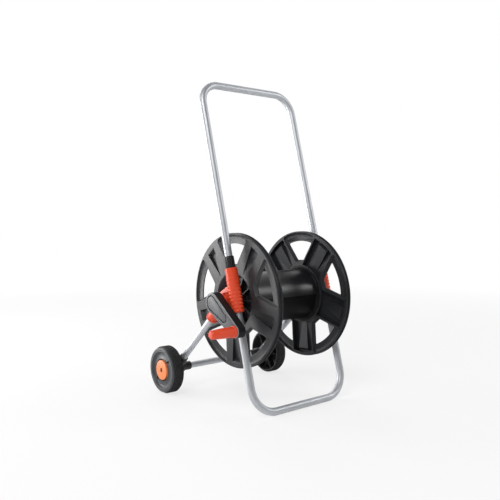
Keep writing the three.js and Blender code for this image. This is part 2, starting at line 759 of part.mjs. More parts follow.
// Places along the wheel's axis count from the cart's middle.
function wheel() {
  const bore = holeRadius(axleRodRadius, axleRodSides);
  const edgeRadius = wheelRadius - wheelEdgeInset;
  const treadInner = wheelRadius - wheelTreadWall;
  const dishEdge = wheelRadius - wheelRingWidth;
  const capFoot = capRecessRadius + capWallFoot;
  const discFoot = capFoot + wheelDiscWall / 2;
  const discRim = wheelOuterFace - wheelDishFloor;
  const discBack = discRim - wheelDiscWall;
  const hubBack = capSeat - wheelHubDrop;
  const profile = [
    point(treadInner, wheelInnerFace), point(edgeRadius, wheelInnerFace),
    point(wheelRadius, wheelInnerFace + wheelEdgeLength),
    point(wheelRadius, wheelOuterFace - wheelEdgeLength),
    point(edgeRadius, wheelOuterFace), point(dishEdge, wheelOuterFace),
    point(dishEdge - wheelDishInset, wheelOuterFace - wheelDishDepth),
    point(capFoot, wheelOuterFace - wheelDishFloor), point(capRecessRadius, wheelOuterFace - capWallRise),
    point(capRecessRadius, capSeat), point(bore, capSeat), point(bore, wheelHubStart),
    point(wheelHubRadius, wheelHubStart), point(wheelHubRadius, hubBack), point(discFoot, discBack),
    point(treadInner, discRim),
  ];
  const ribStart = wheelInnerFace + wheelRibInset;
  const ribInner = wheelHubRadius - wheelRibOverlap;
  const ribOuter = treadInner + wheelRibOverlap;
  const ribs = Array.from({ length: wheelRibCount }, (_, i) => {
    const outline = [
      point(ribInner, ribStart), point(ribOuter, ribStart + wheelRibSlope),
      point(ribOuter, discRim + wheelRibOverlap), point(discFoot, discBack + wheelRibOverlap),
      point(ribInner, hubBack + wheelRibOverlap),
    ];
    const rib = prism(outline, -wheelRibWidth / 2, wheelRibWidth / 2).rotateZ(PI / 2).rotateY(PI);
    rib.rotateX(i * 2 * PI / wheelRibCount);
    return rib.translate(0, axle.x, axle.y);
  });
  return join(onAxle(revolve(profile, wheelSides), axle), ...ribs);
}

function hubCap() {
  const face = wheelOuterFace - hubCapDrop;
  const floor = face - hubCapThickness;
  const foot = capSeat + seatGap;
  return onAxle(revolve([
    point(hubCapHoleRadius, floor), point(hubCapRadius - hubCapThickness, floor),
    point(hubCapRadius - hubCapThickness, foot), point(hubCapRadius, foot),
    point(hubCapRadius, face - hubCapBevel), point(hubCapRadius - hubCapBevel, face),
    point(hubCapHoleRadius, face),
  ], hubCapSides), axle);
}

// ---------------------------------------------------------------- drum

// The hollow of a spoke's outer face, as a hull that grows by a margin for the wall behind it.
function trough(margin, top) {
  const floor = flangeThickness - troughDepth - margin;
  const start = troughStartHalfWidth + margin;
  const half = troughHalfWidth + margin;
  const floorHalf = troughFloorHalfWidth + margin;
  const end = flangeRadius - troughInset + margin;
  const corners = [
    [start, troughStart, flangeThickness - margin], [start, troughStart, top],
    [half, end, top], [floorHalf, end - troughRamp, floor],
  ].flatMap(([x, y, z]) => [new THREE.Vector3(x, y, z), new THREE.Vector3(-x, y, z)]);
  return welded(new ConvexGeometry(corners));
}

// Everything that a flange repeats is made above the axis and turned to its place.
function around(count, firstTurn, make) {
  return Array.from({ length: count }, (_, i) => make().rotateZ(firstTurn + i * 2 * PI / count));
}

// The hollow behind a spoke, between the rim and the hub's ring.
function spokePocket() {
  const half = spokeHalfWidth - openingEdge - spokeBevel - flangeWall;
  const end = flangeRadius - spokePocketInset;
  const outer = asin(half / end);
  const inner = asin(half / hubRingRadius);
  return prism([
    ...arc(0, 0, end, PI / 2 - outer, PI / 2 + outer, 3),
    ...arc(0, 0, hubRingRadius, PI / 2 + inner, PI / 2 - inner, 5),
  ], -overshoot, flangeThickness - flangeSkin);
}

function opening() {
  return prism(betweenSpokes(openingReach, 0), -overshoot, flangeThickness + overshoot);
}

// The space between two spokes from a face of the flange down to its web, open wide at the face.
function recess(webHeight, faceHeight) {
  const edge = openingEdge + spokeBevel;
  return stack([
    { outline: betweenSpokes(recessReach - rimSlopeWidth, openingEdge), height: webHeight },
    { outline: betweenSpokes(recessReach, edge), height: faceHeight },
    { outline: betweenSpokes(recessReach, edge), height: faceHeight + Math.sign(faceHeight - webHeight) },
  ]);
}

function rimDisc() {
  const grooveRadius = flangeRadius - rimGrooveDepth;
  const outerLip = flangeThickness - rimOuterLip;
  const inner = hubRingRadius - flangeWall;
  return revolve([
    point(inner, 0), point(flangeRadius, 0), point(flangeRadius, rimInnerLip),
    point(grooveRadius, rimInnerLip), point(grooveRadius, outerLip), point(flangeRadius, outerLip),
    point(flangeRadius - rimBevel, flangeThickness), point(inner, flangeThickness),
  ], rimSides).rotateX(PI / 2).rotateZ(PI / 2);
}

function hubDish(bossBore) {
  const back = -barrelSpigotLength;
  return revolve([
    point(bossBore, back), point(barrelSpigotRadius, back), point(barrelSpigotRadius, 0),
    point(hubRingRadius, 0), point(hubRingRadius, flangeThickness), point(dishRadius, flangeThickness),
    point(dishRadius - dishShoulderInset, flangeThickness - dishShoulderDepth),
    point(dishFloorRadius + dishFootInset, dishFloor + dishFootRise), point(dishFloorRadius, dishFloor),
    point(flangeBossFoot, dishFloor), point(flangeBossTop, flangeBossLength),
    point(bossBore, flangeBossLength),
  ], hubSides).rotateX(PI / 2).rotateZ(PI / 2);
}

function dishRib() {
  const foot = dishFloor - dishRibOverlap;
  const outer = dishFloorRadius + dishFootInset + dishRibOverlap;
  const outline = [
    point(flangeBossRadius, foot), point(outer, foot), point(outer, dishFloor + dishFootRise),
    point(flangeBossRadius, dishFloor + dishRibRise),
  ];
  return prism(outline, -dishRibWidth / 2, dishRibWidth / 2).rotateX(PI / 2).rotateZ(PI / 2);
}

// The five-spoked moulded flange, with its axis along local Z and its outer face at the top.
function flange(bossBore) {
  const openingTurn = spokeTurn - PI / spokeCount;
  const backings = around(spokeCount, spokeTurn,
    () => trough(flangeWall, flangeThickness - flangeSkin + overshoot));
  const hollows = around(spokeCount, spokeTurn, () => trough(0, flangeThickness + overshoot));
  const pockets = cut(join(...around(spokeCount, spokeTurn, spokePocket)), ...backings);
  const blank = join(rimDisc(), hubDish(bossBore),
    ...around(dishRibCount, spokeTurn + PI / dishRibCount, dishRib));
  return cut(blank, pockets, ...hollows, ...around(spokeCount, openingTurn, opening),
    ...around(spokeCount, openingTurn, () => recess(flangeWebHigh, flangeThickness)),
    ...around(spokeCount, openingTurn, () => recess(flangeWebLow, 0)));
}

function placedFlange(geometry) {
  return facingOut(geometry.translate(0, 0, flangeInnerFace), drumAxis);
}

// Driven by the shaft's hexagon.
function crankFlange() {
  const outline = ringPoints(holeRadius(journalRadius, hexSides), hexSides);
  const hexBore = prism(outline, -2 * dishDepth, 2 * dishDepth);
  return placedFlange(cut(flange(journalRadius / 2), hexBore));
}

// Turns on the inlet spindle, in a bush.
function inletFlange() {
  return placedFlange(flange(holeRadius(bushOuterRadius, hubSides)));
}

function barrel() {
  const inner = holeRadius(barrelSpigotRadius, barrelSides);
  const end = flangeInnerFace - seatGap;
  const outer = inner + barrelWall;
  const flare = arc(outer + barrelFlare, end - barrelFlare, barrelFlare, PI, PI / 2, 3);
  const oneSide = flare.map((p) => point(p.x, p.y));
  const otherSide = oneSide.map((p) => point(p.x, -p.y)).reverse();
  return revolve([point(inner, -end), ...otherSide, ...oneSide, point(inner, end)], barrelSides);
}

// Half of the barrel, on one side of the seam. The outlet leaves between the two halves.
function barrelShell(side) {
  const size = 3 * flangeRadius;
  const half = welded(new THREE.BoxGeometry(size, size, size)).translate(0, 0, side * (size + seatGap) / 2);
  half.rotateX(barrelSeamAngle).translate(0, drumAxis.x, drumAxis.y);
  const hole = alongRay(disc(holeRadius(nippleRadius, legSides), barrelSpigotRadius / 2, flangeRadius,
    legSides), drumAxis, barrelSeamAngle, outletX);
  return cut(common(onAxle(barrel(), drumAxis), half), hole);
}

// ---------------------------------------------------------------- bearings and water joint

// Local zero is the flange's outer side, and the sleeve runs towards +Y.
function bush() {
  const end = bushFlangeLength + bushLength - seatGap;
  return revolve([
    point(bushBore, 0), point(bushFlangeRadius, 0), point(bushFlangeRadius, bushFlangeLength),
    point(bushOuterRadius, bushFlangeLength), point(bushOuterRadius, end), point(bushBore, end),
  ], journalSides);
}

function crankBush() {
  return onAxle(bush().translate(0, bushFlangeStart, 0), drumAxis);
}

function inletBush() {
  const turned = bush().rotateX(PI).translate(0, bushFlangeStart + bushFlangeLength, 0);
  return onAxle(turned, drumAxis);
}

function crankShaft() {
  const hex = (low, high) => onAxle(disc(journalRadius, low, high, hexSides), drumAxis);
  const headEnd = flangeBack - seatGap;
  const head = disc(shaftHeadRadius, headEnd - shaftHeadLength, headEnd, journalSides);
  const journal = disc(journalRadius, flangeBossEnd - shaftOverlap, crankInner - shaftOverlap, journalSides);
  const tap = disc(holeRadius(screwShankRadius, screwSides), shaftEnd - shaftTapDepth, shaftEnd + overshoot,
    screwSides);
  return cut(join(onAxle(head, drumAxis), hex(flangeBack - shaftHeadLength, flangeBossEnd),
    onAxle(journal, drumAxis), hex(crankInner - 2 * shaftOverlap, shaftEnd)), onAxle(tap, drumAxis));
}

function inletSpindle() {
  const floor = journalRadius - sealThickness - 2 * seatGap;
  const half = sealThickness / 2 + seatGap;
  const end = elbowMiddle - spindleEndInset;
  const groove = (middle) => [point(journalRadius, middle - half), point(floor, middle - half),
    point(floor, middle + half), point(journalRadius, middle + half)];
  return onAxle(revolve([
    point(waterBore, spindleInner), point(journalRadius, spindleInner), ...groove(swivelSealMiddle),
    ...groove(inletSealMiddle), point(journalRadius, end), point(waterBore, end),
  ], journalSides), drumAxis);
}

function spindleSeal(middle) {
  const radius = journalRadius - (sealThickness + seatGap) / 2;
  const seal = new THREE.TorusGeometry(radius, sealThickness / 2, sealSteps, journalSides);
  return facingOut(welded(seal).translate(0, 0, middle), drumAxis);
}

// Barbed end of a hose tail, from the drum's axis outwards.
function nipple(end) {
  const grooveEnd = end - nippleGrooveStart;
  const groove = grooveEnd - nippleGrooveLength;
  return revolve([
    point(0, 0), point(nippleRadius, 0), point(nippleRadius, groove - nippleGrooveSlope),
    point(nippleGrooveRadius, groove), point(nippleGrooveRadius, grooveEnd - nippleGrooveSlope),
    point(nippleRadius, grooveEnd), point(nippleRadius, end - nippleTipLength),
    point(nippleGrooveRadius, end), point(0, end),
  ], legSides);
}

function inletElbow() {
  const inner = bracketBossOuter + seatGap;
  const down = (geometry) => alongRay(geometry, drumAxis, -PI / 2, elbowMiddle);
  const hub = disc(elbowHubRadius, inner, elbowOuter, bracketSides);
  const skirt = disc(elbowSkirtRadius, 0, elbowSkirt, bracketSides);
  const socket = disc(bushBore, inner - overshoot, elbowMiddle - elbowSocketInset, journalSides);
  const across = disc(waterBore, inner, elbowMiddle + waterBore, legSides);
  return cut(join(onAxle(hub, drumAxis), down(skirt), down(nipple(elbowReach))), onAxle(socket, drumAxis),
    onAxle(across, drumAxis), down(disc(waterBore, 0, elbowReach + overshoot, legSides)));
}

function outletElbow() {
  const end = flangeBack - seatGap;
  const out = (geometry) => alongRay(geometry, drumAxis, barrelSeamAngle, outletX);
  const hub = disc(outletHubRadius, outletX - outletHubBack, end, bracketSides);
  const skirt = disc(outletSkirtRadius, 0, barrelSpigotRadius - outletSkirtInset, bracketSides);
  const socket = disc(bushBore, spindleInner - seatGap, end + overshoot, journalSides);
  const across = disc(waterBore, outletX, end, legSides);
  return cut(join(onAxle(hub, drumAxis), out(skirt), out(nipple(outletReach))), onAxle(socket, drumAxis),
    onAxle(across, drumAxis), out(disc(waterBore, 0, outletReach + overshoot, legSides)));
}

// ---------------------------------------------------------------- crank

function crankArm() {
  const plateInner = crankOuter - crankPlate;
  const outline = (margin) => taperedOutline(crankHubRadius - margin, crankTipRadius - margin, crankLength);
  const body = stack([
    { outline: outline(0), height: crankInner },
    { outline: outline(0), height: crankOuter - crankBevel },
    { outline: outline(crankBevel), height: crankOuter },
  ]);
  const cavity = prism(outline(crankWall), crankInner - overshoot, plateInner);
  const shell = facingOut(cut(body, cavity), drumAxis, crankTurn);
  const bossEnd = plateInner + crankBossOverlap;
  const boss = onAxle(disc(crankBossRadius, crankInner, bossEnd, bracketSides), drumAxis);
  const tipBoss = onAxle(
    disc(crankTipBossRadius, crankInner + crankTipBossInset, bossEnd, bracketSides), gripAxis);
  const hex = disc(
    holeRadius(journalRadius, hexSides), crankInner - overshoot, shaftEnd + seatGap, hexSides);
  const screwBore = disc(holeRadius(screwShankRadius, screwSides), crankInner, crankOuter, screwSides);
  const headBore = disc(holeRadius(screwHeadRadius, screwSides), crankScrewSeat, crankOuter, screwSides);
  const pinBore = disc(
    holeRadius(gripPinRadius, axleRodSides), crankInner, crankOuter + overshoot, axleRodSides);
  const inlaySeat = prism(inlayOutline(0), crankOuter - inlayDepth, crankOuter + overshoot);
  return cut(join(shell, boss, tipBoss), onAxle(hex, drumAxis), onAxle(screwBore, drumAxis),
    onAxle(headBore, drumAxis), onAxle(pinBore, gripAxis), facingOut(inlaySeat, drumAxis, crankTurn));
}

function inlayOutline(margin) {
  return taperedOutline(inlayHubRadius - margin, inlayTipRadius - margin, inlayLength, 5);
}

function crankInlay() {
  const inlay = prism(inlayOutline(seatGap), crankOuter - inlayDepth + seatGap, crankOuter);
  return facingOut(inlay, drumAxis, crankTurn);
}

function crankScrew() {
  const tip = shaftEnd - crankScrewDepth;
  const head = crankScrewSeat + seatGap;
  const top = head + crankScrewHeadLength;
  return onAxle(revolve([
    point(0, tip), point(screwShankRadius, tip), point(screwShankRadius, head),
    point(screwHeadRadius, head), point(screwHeadRadius, top), point(0, top),
  ], screwSides), drumAxis);
}

function gripPin() {
  const collar = crankInner + crankTipBossInset - seatGap;
  const head = collar - gripPinHeadLength;
  return onAxle(revolve([
    point(0, head), point(gripPinHeadRadius, head), point(gripPinHeadRadius, collar),
    point(gripPinRadius, collar), point(gripPinRadius, crankOuter + gripPinLength),
    point(0, crankOuter + gripPinLength),
  ], axleRodSides), gripAxis);
}

function crankGrip() {
  const base = crankOuter + seatGap;
  const tip = base + gripLength;
  const bore = holeRadius(gripPinRadius, axleRodSides);
  const boreEnd = crankOuter + gripPinLength + seatGap;
  const collar = gripBaseRadius + gripCollarStep;
  const waist = gripBaseRadius - gripCollarStep;
  return onAxle(revolve([
    point(0, boreEnd), point(bore, boreEnd), point(bore, base), point(gripBaseRadius, base),
    point(collar, base + gripCollarStep), point(collar, base + gripCollarLength),
    point(waist, base + gripCollarLength + gripCollarStep), point(waist, base + gripWaistEnd),
    point(gripTipRadius, tip - gripTipLength), point(gripTipRadius - gripTipBevel, tip - gripTipCrown),
    point(gripTipRadius - gripTipRounding, tip), point(0, tip),
  ], gripSides), gripAxis);
}

// ---------------------------------------------------------------- assembly

function finish(color, roughness, metalness = 0) {
  return () => new THREE.MeshStandardMaterial({ color, roughness, metalness });
}

const silverTube = finish('#b9bcc0', 0.35, 0.85);
const zincSteel = finish('#c8c9cb', 0.3, 1);
const orangePlastic = finish('#e64b28', 0.45);
const blackPlastic = finish('#222326', 0.5);
const flangePlastic = finish('#3a3c40', 0.55);
const glossBlack = finish('#17181a', 0.3);
const greyPlastic = finish('#6b6c6e', 0.5);
const bushPlastic = finish('#d9d8d0', 0.4);
const wheelPlastic = finish('#2a2b2d', 0.65);
const rubber = finish('#151515', 0.8);

const cart = new THREE.Group();

function add(name, geometry, material) {
  const mesh = new THREE.Mesh(geometryOf(solid(geometry)), material());
  mesh.name = name;
  cart.add(mesh);
}

// The same piece on both sides, made for the right one.
function addPair(name, geometry, material) {
  const right = geometryOf(solid(geometry));
  add(`${name}_right`, right, material);
  add(`${name}_left`, mirrored(right), material);
}

function addLeft(name, geometry, material) {
  add(name, mirrored(geometryOf(solid(geometry))), material);
}

add('handle_tube', handleTube(), silverTube);
add('foot_tube', footTube(), silverTube);
addPair('handle_collar', handleCollar(), blackPlastic);
addLeft('bracket_left', crankBracket(), orangePlastic);
add('bracket_right', inletBracket(), orangePlastic);
addPair('handle_screw', screw(onFrame(handleScrewPlace), sleeveScrewSeat), zincSteel);
addPair('foot_screw', screw(onFrame(footScrewPlace), sleeveScrewSeat), zincSteel);
addPair('leg_screw', screw(onLeg(legScrewPlace), legScrewSeat), zincSteel);
addPair('carrier_screw', screw(onLeg(lowScrewPlace), carrierScrewSeat), zincSteel);

addPair('rear_leg', rearLeg(), silverTube);
addPair('axle_carrier', axleCarrier(), blackPlastic);
add('axle_tube', axleTube(), silverTube);
add('wheel_axle', wheelAxle(), zincSteel);
addPair('axle_washer', axleWasher(), zincSteel);
addPair('axle_nut', axleNut(), zincSteel);
addPair('wheel', wheel(), wheelPlastic);
addPair('hub_cap', hubCap(), orangePlastic);

addLeft('drum_flange_left', crankFlange(), flangePlastic);
add('drum_flange_right', inletFlange(), flangePlastic);
add('barrel_shell_upper', barrelShell(1), glossBlack);
add('barrel_shell_lower', barrelShell(-1), glossBlack);
addLeft('crank_shaft', crankShaft(), zincSteel);
addLeft('hub_bush_left', crankBush(), bushPlastic);
add('hub_bush_right', inletBush(), bushPlastic);

add('inlet_spindle', inletSpindle(), blackPlastic);
add('inlet_seal', spindleSeal(inletSealMiddle), rubber);
add('inlet_elbow', inletElbow(), blackPlastic);
add('swivel_seal', spindleSeal(swivelSealMiddle), rubber);
add('outlet_elbow', outletElbow(), blackPlastic);

addLeft('crank_arm', crankArm(), greyPlastic);
addLeft('crank_inlay', crankInlay(), greyPlastic);
addLeft('crank_screw', crankScrew(), zincSteel);
addLeft('grip_pin', gripPin(), zincSteel);
addLeft('crank_grip', crankGrip(), orangePlastic);

export default cart;
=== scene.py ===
"""Garden hose reel cart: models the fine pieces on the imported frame, finishes every surface and lights it."""

import json
from contextlib import contextmanager
from math import asin, cos, pi, radians, sin, tan, tau

import bpy
from mathutils import Matrix, Vector


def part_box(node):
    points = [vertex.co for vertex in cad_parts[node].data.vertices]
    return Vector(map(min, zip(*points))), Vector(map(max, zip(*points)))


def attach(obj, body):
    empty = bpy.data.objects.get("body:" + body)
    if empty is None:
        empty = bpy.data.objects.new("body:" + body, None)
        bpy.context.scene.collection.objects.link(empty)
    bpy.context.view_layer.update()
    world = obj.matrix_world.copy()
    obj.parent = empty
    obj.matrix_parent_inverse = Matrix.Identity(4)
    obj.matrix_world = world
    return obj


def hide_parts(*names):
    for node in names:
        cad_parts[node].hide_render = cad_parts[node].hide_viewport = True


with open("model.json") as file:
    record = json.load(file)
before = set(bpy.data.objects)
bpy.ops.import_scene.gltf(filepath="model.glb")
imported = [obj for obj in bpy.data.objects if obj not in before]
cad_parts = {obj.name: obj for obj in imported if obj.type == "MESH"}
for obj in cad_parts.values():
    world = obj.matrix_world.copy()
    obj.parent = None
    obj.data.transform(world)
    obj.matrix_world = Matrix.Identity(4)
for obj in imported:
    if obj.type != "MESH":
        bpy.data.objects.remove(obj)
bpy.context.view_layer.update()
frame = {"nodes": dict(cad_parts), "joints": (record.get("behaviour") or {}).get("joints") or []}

bl_info = {
    "name": "Garden hose reel cart",
    "version": (1, 0, 0),
    "blender": (4, 5, 0),
    "location": "View3D > Sidebar > Hose reel",
    "description": "Models and finishes a garden hose reel cart on its packed frame",
    "category": "Object",
}

PIVOTS = {joint["name"]: Vector(joint["pos_m"]) for joint in frame["joints"]}
DRUM = Vector((0, PIVOTS["drum_spin"].y, PIVOTS["drum_spin"].z))
AXLE = Vector((0, PIVOTS["right_wheel_spin"].y, PIVOTS["right_wheel_spin"].z))
GRIP = Vector((0, PIVOTS["grip_spin"].y, PIVOTS["grip_spin"].z))
RIGHT = Vector((1, 0, 0))
UP = Vector((0, 0, 1))
FIT = 0.0003  # room all round a tube or a rod in its bore
OVERRUN = 0.001  # how far a cutting tool reaches past the face that it cuts
FINISHES = {}  # the materials by name, made by the first operator


# ---------------------------------------------------------------- sizes and colours

def length(name, description, default):
    """A size in metres."""
    return bpy.props.FloatProperty(name=name, description=description, default=default, unit="LENGTH",
                                   precision=5)


def turn(name, description, degrees):
    """An angle given in degrees."""
    return bpy.props.FloatProperty(name=name, description=description, default=radians(degrees),
                                   unit="ROTATION")


def linear(level):
    """A display colour's level, 0 to 255, as the share of light that it stands for."""
    share = level / 255
    return share / 12.92 if level <= 10 else ((share + 0.055) / 1.055) ** 2.4


def colour(name, description, *levels):
    """A colour given by its red, green and blue levels on a display."""
    return bpy.props.FloatVectorProperty(name=name, description=description,
                                         default=(*(linear(level) for level in levels), 1.0),
                                         size=4, subtype="COLOR", min=0, max=1)


class ReelFrameSizes(bpy.types.PropertyGroup):
    tube_radius: length("Tube radius", "Radius of the bent frame tubes", 0.010)
    half_width: length("Half width", "From the middle to the axis of an upright", 0.162)
    lean: turn("Lean", "Lean of the uprights towards the wheels", 14.8)
    handle_corner: length("Handle corner", "Bend radius of the handle's corners", 0.057)
    foot_corner: length("Foot corner", "Bend radius of the foot's corners", 0.068)
    leg_radius: length("Leg radius", "Radius of the rear legs and of the axle tube", 0.0095)
    sleeve_low: length("Sleeve start", "Lower end of a bracket's sleeve, along the upright", 0.261)
    sleeve_high: length("Sleeve end", "Upper end of a bracket's sleeve, along the upright", 0.377)
    ring_count: bpy.props.IntProperty(name="Rings", description="Number of saw-tooth rings on a sleeve",
                                      default=10, min=1)
    sleeve_low_radius: length("Sleeve foot", "Radius of the sleeve's lowest ring", 0.0148)
    sleeve_high_radius: length("Sleeve top", "Radius of the sleeve's smooth top", 0.0164)
    ring_step: length("Ring step", "How far each saw-tooth ring stands out", 0.0020)
    socket_radius: length("Leg socket", "Radius of the socket that holds a rear leg", 0.0155)
    socket_length: length("Leg socket length", "From the drum's axis to the socket's lip", 0.075)
    boss_radius: length("Boss", "Radius of a bracket's bearing boss", 0.020)
    web_thickness: length("Web", "Thickness of the plate between sleeve and socket", 0.012)
    collar_radius: length("Collar", "Radius of the fluted collars", 0.013)


class ReelDrumSizes(bpy.types.PropertyGroup):
    inner_face: length("Flange inner face", "From the drum's middle to the hose side of a flange", 0.114)
    thickness: length("Flange thickness", "Across the rim", 0.016)
    skin: length("Skin", "Thickness of the flange's faces and walls", 0.003)
    radius: length("Flange radius", "Outer radius of the rim", 0.180)
    groove_depth: length("Rim groove", "Depth of the groove between the rim's lips", 0.003)
    web: length("Web", "Thickness of the sheet around the openings", 0.003)
    rim_face: length("Rim face", "Width of the rim's flat edge", 0.004)
    rim_slope: length("Rim slope", "From the rim's flat edge down to the web", 0.008)
    rim_band: length("Rim band", "From the rim to the openings", 0.028)
    spoke_half: length("Spoke half width", "From a spoke's middle line to its side", 0.047)
    spoke_bevel: length("Spoke bevel", "How much a spoke narrows towards its faces", 0.005)
    opening_inner: length("Opening inner reach", "From the axis to an opening's flat end", 0.097)
    spoke_turn: turn("Spoke turn", "Turn of the first spoke from straight up", 33.0)
    trough_half: length("Trough half width", "Of the hollow in a spoke's outer face, at the rim", 0.017)
    trough_tip: length("Trough tip", "Half width of that hollow at the hub", 0.006)
    trough_depth: length("Trough depth", "Of the hollow in a spoke's outer face", 0.010)
    barrel_radius: length("Barrel radius", "Outer radius of the barrel", 0.0706)
    barrel_flare: length("Barrel flare", "Fillet where the barrel meets a flange", 0.010)
    seam_rear: turn("Seam behind", "Height of the barrel's seam behind the axis", -25.0)
    seam_front: turn("Seam in front", "Height of the barrel's seam in front of the axis", 4.0)
    dish_radius: length("Dish radius", "Rim of the hub's dish", 0.074)


class ReelCrankSizes(bpy.types.PropertyGroup):
    inner: length("Inner edge", "From the middle to the crank's open side", 0.180)
    outer: length("Outer face", "From the middle to the crank's face", 0.203)
    hub_radius: length("Wide end", "Radius of the crank's wide end", 0.027)
    tip_radius: length("Narrow end", "Radius of the crank's narrow end", 0.017)
    panel_length: length("Panel", "Between the centres of the panel's round ends", 0.062)
    panel_groove: length("Panel groove", "Width of the groove around the panel", 0.0028)
    grip_base: length("Grip base", "Radius of the grip at the crank", 0.0145)
    grip_tip: length("Grip tip", "Radius of the grip at its end", 0.0115)


class ReelWheelSizes(bpy.types.PropertyGroup):
    lug_height: length("Lug height", "How far the tread's lugs stand out", 0.0009)
    cap_radius: length("Hub cap", "Radius of the hub cap", 0.0285)
    cap_hole: length("Hub cap hole", "Radius of the hole in the hub cap", 0.0062)


class ReelColours(bpy.types.PropertyGroup):
    orange: colour("Orange", "Brackets and grip", 232, 74, 36)
    cap: colour("Hub cap", "Hub caps", 244, 138, 78)
    black: colour("Black", "Small black mouldings and seals", 30, 31, 33)
    flange: colour("Flange", "Outer faces of the flanges", 42, 43, 46)
    # the outer faces' colour in a less reflective finish, so that faces turned inwards stay dark as painted
    # shade
    flange_back: colour("Flange back", "Inner faces and rims of the flanges", 42, 43, 46)
    barrel: colour("Barrel", "Upper barrel shell and sides of the crank", 26, 27, 29)
    # painted shade: the lower shell and the flares are darker than the upper shell
    barrel_lower: colour("Lower barrel", "Lower barrel shell and the flares", 17, 17, 19)
    crank_face: colour("Crank face", "Outer face and panel of the crank", 80, 82, 84)
    # a pale colour painted on the bevelled lip of the crank's face as its highlight
    crank_edge: colour("Crank edge", "Painted highlight along the lip of the crank's face", 140, 142, 145)
    wheel: colour("Wheel", "Wheels", 66, 68, 71)
    # also painted shade in the wheels' slots and in the hollow under the hub caps
    tread: colour("Tread", "Treads of the wheels", 36, 36, 38)
    tube: colour("Tube", "Frame tubes", 204, 207, 211)
    zinc: colour("Zinc", "Screws, rods, washers and nuts", 200, 202, 205)
    floor: colour("Floor", "Floor", 250, 250, 250)


# ---------------------------------------------------------------- modelling

def only(*pieces):
    """Selects these objects and nothing else, with the first one active."""
    bpy.ops.object.select_all(action="DESELECT")
    for piece in pieces:
        piece.select_set(True)
    bpy.context.view_layer.objects.active = pieces[0]


@contextmanager
def editing(piece):
    """Edit mode on one piece, with all of it selected."""
    only(piece)
    bpy.ops.object.mode_set(mode="EDIT")
    bpy.ops.mesh.select_all(action="SELECT")
    yield
    bpy.ops.object.mode_set(mode="OBJECT")


def tidied(piece):
    """Merges doubles and turns the faces outwards."""
    with editing(piece):
        bpy.ops.mesh.remove_doubles(threshold=2e-6)
        bpy.ops.mesh.normals_make_consistent(inside=False)
    return piece


def chain(name, points, closed=True):
    """A mesh of edges through the points, shaped from a circle."""
    count = len(points)
    bpy.ops.object.select_all(action="DESELECT")
    bpy.ops.mesh.primitive_circle_add(vertices=max(count, 3), radius=1)
    piece = bpy.context.object
    piece.name = name
    for vertex, place in zip(piece.data.vertices, points):
        vertex.co = place
    if not closed:
        with editing(piece):
            if count < 3:
                select_where(piece, lambda vertex: vertex.index >= count)
                bpy.ops.mesh.delete(type="VERT")
            else:
                bpy.ops.mesh.select_mode(type="EDGE")
                bpy.ops.mesh.select_all(action="DESELECT")
                bpy.ops.object.mode_set(mode="OBJECT")
                for edge in piece.data.edges:
                    edge.select = set(edge.vertices) == {0, count - 1}
                bpy.ops.object.mode_set(mode="EDIT")
                bpy.ops.mesh.delete(type="EDGE")
                bpy.ops.mesh.select_mode(type="VERT")
    return piece


def turned(name, profile, start, axis=RIGHT, steps=96):
    """A solid of revolution about an axis; the profile holds (distance along it, radius)."""
    side = axis.orthogonal().normalized()
    points = [start + axis * along + side * radius for along, radius in profile]
    piece = chain(name, points, closed=profile[0][1] > 0)
    with editing(piece):
        bpy.ops.mesh.spin(steps=steps, angle=tau, center=start, axis=axis)
    return tidied(piece)


def rod(name, low, high, radius, start, axis=RIGHT, steps=48):
    """A plain round rod from one distance along an axis to another."""
    return turned(name, [(low, 0), (low, radius), (high, radius), (high, 0)], start, axis, steps)


def in_plane(place, outline, x):
    """Outline points (a, b) in the plane at x, with a along Y and b along Z."""
    return [Vector((x, place.y + a, place.z + b)) for a, b in outline]


def select_where(piece, test):
    """Selects the vertices that pass the test, from edit mode."""
    bpy.ops.mesh.select_all(action="DESELECT")
    bpy.ops.object.mode_set(mode="OBJECT")
    for vertex in piece.data.vertices:
        vertex.select = test(vertex)
    bpy.ops.object.mode_set(mode="EDIT")


def lofted(name, loops):
    """Bridges closed loops with equally many points, and fills the first and the last."""
    count = len(loops[0])
    last = count * (len(loops) - 1)
    piece = joined([chain(name, loop) for loop in loops])
    with editing(piece):
        bpy.ops.mesh.select_mode(type="VERT")
        for layer in range(len(loops) - 1):
            low = layer * count
            select_where(piece, lambda v: low <= v.index < low + 2 * count)
            bpy.ops.mesh.bridge_edge_loops()
        for low in (0, last):
            select_where(piece, lambda v: low <= v.index < low + count)
            bpy.ops.mesh.edge_face_add()
    return tidied(piece)


def plate(name, outline, low, high, place=DRUM):
    """A flat plate across the X direction, from one x to another."""
    return lofted(name, [in_plane(place, outline, low), in_plane(place, outline, high)])


def hull(name, points):
    """The convex body that wraps the points."""
    piece = chain(name, points, closed=False)
    with editing(piece):
        bpy.ops.mesh.convex_hull()
    return tidied(piece)


def joined(pieces):
    """Joins the pieces into the first one."""
    only(*pieces)
    if len(pieces) > 1:
        bpy.ops.object.join()
    return pieces[0]


def combined(piece, tools, operation):
    """Adds the tools to a piece or takes them from it, one by one, and deletes them."""
    for tool in tools:
        modifier = piece.modifiers.new(operation.lower(), "BOOLEAN")
        modifier.operation = operation
        modifier.solver = "EXACT"
        modifier.object = tool
        only(piece)
        bpy.ops.object.modifier_apply(modifier=modifier.name)
        bpy.data.objects.remove(tool)
    return piece


def carved(piece, *tools):
    """Takes the tools away from a piece."""
    return combined(piece, tools, "DIFFERENCE")


def united(piece, *tools):
    """Adds the tools to a piece."""
    return combined(piece, tools, "UNION")


def softened(piece, width, segments=2, angle=35):
    """Rounds the edges that are sharper than an angle."""
    modifier = piece.modifiers.new("soft edges", "BEVEL")
    modifier.width = width
    modifier.segments = segments
    modifier.limit_method = "ANGLE"
    modifier.angle_limit = radians(angle)
    modifier.use_clamp_overlap = True
    only(piece)
    bpy.ops.object.modifier_apply(modifier=modifier.name)
    return piece


